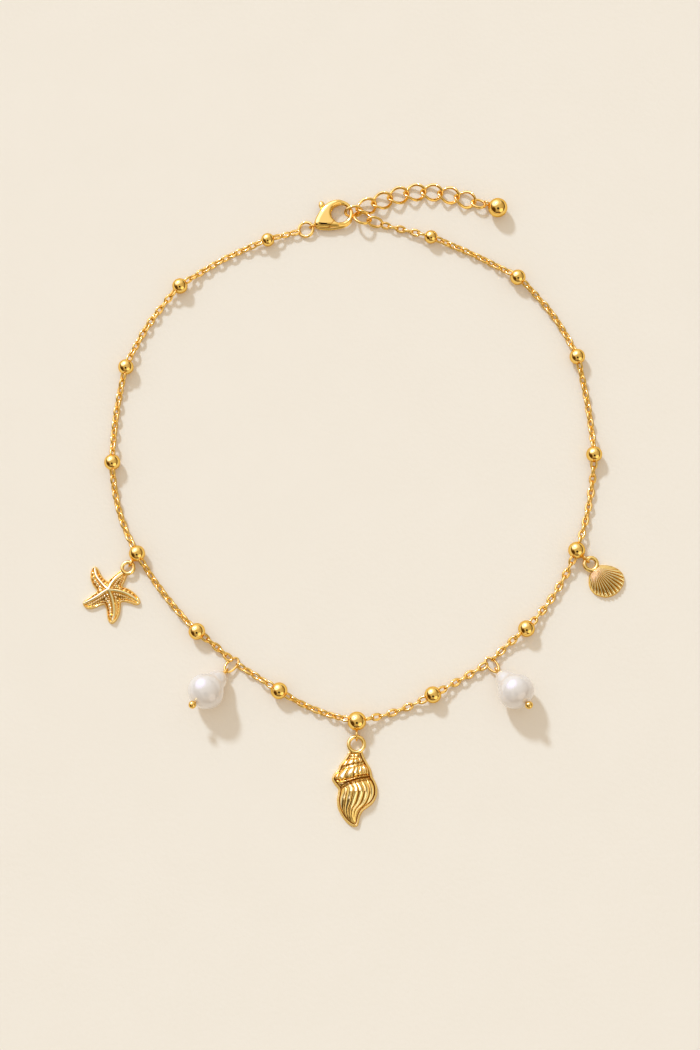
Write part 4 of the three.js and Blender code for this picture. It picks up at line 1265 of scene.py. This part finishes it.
# ---- stage ----
class OBJECT_OT_necklace_stage(bpy.types.Operator):
    """Make the plain floor, the soft lights and the camera"""

    bl_idname = "object.necklace_stage"
    bl_label = "Stage"

    # Where the camera looks and how far off it is, in mm, and half its view in degrees
    look_at = (-0.955, -7.726, 0.0)
    camera_reach = 500.5
    half_view = 15
    sensor = 36

    # The key light: its direction, its width in degrees and its tint
    key_way = (0.41, -0.69, -0.60)
    key_width = 7
    key_tint = (0.66, 0.82, 1.0)
    floor_size = 6

    # The dome that gold mirrors, from level to overhead: height, and its colour
    walls = [(0.0, (0.05, 0.02, 0.005)), (0.16, (0.10, 0.05, 0.02)), (0.32, (0.46, 0.35, 0.22)),
             (0.9, (0.72, 0.63, 0.50))]
    # The windows that it mirrors: direction, half width in degrees, softness, and their light
    windows = [
        ((-0.80, -0.50, 0.38), 26, 0.04, (0.10, 0.05, 0.015)),
        ((-0.10, 0.80, 0.59), 40, 0.08, (0.95, 0.88, 0.86)),
        ((-0.49, 0.64, 0.59), 33, 0.09, (2.2, 2.0, 3.3)),
        ((0.62, -0.66, 0.43), 22, 0.02, (1.5, 1.3, 1.1)),
        ((0.0, -0.49, 0.87), 14, 0.006, (0.015, 0.006, 0.0)),
    ]
    # The even light on all that isn't a mirror
    even_light = (0.76, 0.70, 0.615)

    def execute(self, context):
        stage = context.scene.necklace_stage
        context.scene.view_settings.view_transform = "Standard"
        self.add_floor(stage)
        self.add_room(context.scene)
        self.add_key(stage)
        self.add_camera(context.scene, stage)
        return {"FINISHED"}

    def add_floor(self, stage):
        deselect()
        bpy.ops.mesh.primitive_plane_add(size=self.floor_size)
        floor = bpy.context.object
        floor.name = floor.data.name = "floor"
        floor.data.materials.append(floor_finish(stage.floor))

    def add_room(self, scene):
        """A soft even dome that lights the scene, and the windows of a room for gold to mirror."""
        world = bpy.data.worlds.new("studio")
        world.use_nodes = True
        tree = world.node_tree
        place = add_node(tree, "TexCoord", {}).outputs["Generated"]
        up = add_node(tree, "SeparateXYZ", {"Vector": place}).outputs["Z"]
        ramp = add_node(tree, "ValToRGB", {"Fac": up})
        levels = ramp.color_ramp.elements
        levels[1].position = self.walls[-1][0]
        for height, _ in self.walls[1:-1]:
            levels.new(height)
        for level, (_, colour) in zip(levels, self.walls):
            level.color = (*colour, 1)
        mirrored = ramp.outputs["Color"]
        for window in self.windows:
            mirrored = self.add_window(tree, place, mirrored, *window)
        is_mirror = add_node(tree, "LightPath", {}).outputs["Is Glossy Ray"]
        light = add_mix(tree, is_mirror, self.even_light, mirrored)
        set_inputs(tree, tree.nodes["Background"], {"Color": light})
        scene.world = world

    def add_window(self, tree, place, around, direction, width, soft, light):
        toward = add_node(tree, "VectorMath", {0: place, 1: Vector(direction).normalized()},
                          operation="DOT_PRODUCT")
        edge = math.cos(math.radians(width))
        inside = add_node(tree, "MapRange", {"Value": toward.outputs["Value"],
                                             "From Min": edge - soft, "From Max": edge + soft},
                          interpolation_type="SMOOTHSTEP")
        return add_mix(tree, inside.outputs["Result"], around, light)

    def add_key(self, stage):
        deselect()
        bpy.ops.object.light_add(type="SUN", location=(-0.3, 0.5, 0.5))
        key = bpy.context.object
        key.name = key.data.name = "key_light"
        key.data.energy = stage.key
        key.data.angle = math.radians(self.key_width)
        key.data.color = self.key_tint
        key.rotation_euler = Vector(self.key_way).to_track_quat("-Z", "Y").to_euler()

    def add_camera(self, scene, stage):
        look = Vector(self.look_at) * MM
        back = Vector((0, -math.cos(stage.elevation), math.sin(stage.elevation)))
        bpy.ops.object.camera_add(location=look + back * self.camera_reach * MM)
        camera = bpy.context.object
        camera.name = camera.data.name = "camera"
        camera.rotation_euler = (-back).to_track_quat("-Z", "Y").to_euler()
        camera.data.sensor_fit = "AUTO"
        camera.data.sensor_width = self.sensor
        camera.data.lens = self.sensor / 2 / math.tan(math.radians(self.half_view))
        camera.data.clip_start, camera.data.clip_end = 0.01, 20
        scene.camera = camera


# ---- add-on ----
STEPS = ["chain", "beads", "rings", "extender", "clasp", "starfish", "scallop", "conch",
         "pearls", "stage"]


class VIEW3D_PT_necklace(bpy.types.Panel):
    """The necklace's sizes and colours, and a button for each of its groups of pieces"""

    bl_label = "Shell Necklace"
    bl_idname = "VIEW3D_PT_necklace"
    bl_space_type = "VIEW_3D"
    bl_region_type = "UI"
    bl_category = "Necklace"

    def draw(self, context):
        for title, settings in (("Gold", context.scene.necklace_metal),
                                ("Chain", context.scene.necklace_chain),
                                ("Pearls", context.scene.necklace_pearl),
                                ("Stage", context.scene.necklace_stage)):
            box = self.layout.box()
            box.label(text=title)
            for name in settings.__annotations__:
                box.prop(settings, name)
        for step in STEPS:
            self.layout.operator(f"object.necklace_{step}")


SETTINGS = {
    "necklace_metal": NecklaceMetal,
    "necklace_chain": NecklaceChain,
    "necklace_pearl": NecklacePearl,
    "necklace_stage": NecklaceStage,
}
CLASSES = [
    *SETTINGS.values(),
    OBJECT_OT_necklace_chain,
    OBJECT_OT_necklace_beads,
    OBJECT_OT_necklace_rings,
    OBJECT_OT_necklace_extender,
    OBJECT_OT_necklace_clasp,
    OBJECT_OT_necklace_starfish,
    OBJECT_OT_necklace_scallop,
    OBJECT_OT_necklace_conch,
    OBJECT_OT_necklace_pearls,
    OBJECT_OT_necklace_stage,
    VIEW3D_PT_necklace,
]


def register():
    for item in CLASSES:
        bpy.utils.register_class(item)
    for name, group in SETTINGS.items():
        setattr(bpy.types.Scene, name, bpy.props.PointerProperty(type=group))


def unregister():
    for name in SETTINGS:
        delattr(bpy.types.Scene, name)
    for item in reversed(CLASSES):
        bpy.utils.unregister_class(item)


def main():
    register()
    for step in STEPS:
        getattr(bpy.ops.object, f"necklace_{step}")()


if __name__ == "__main__":
    main()
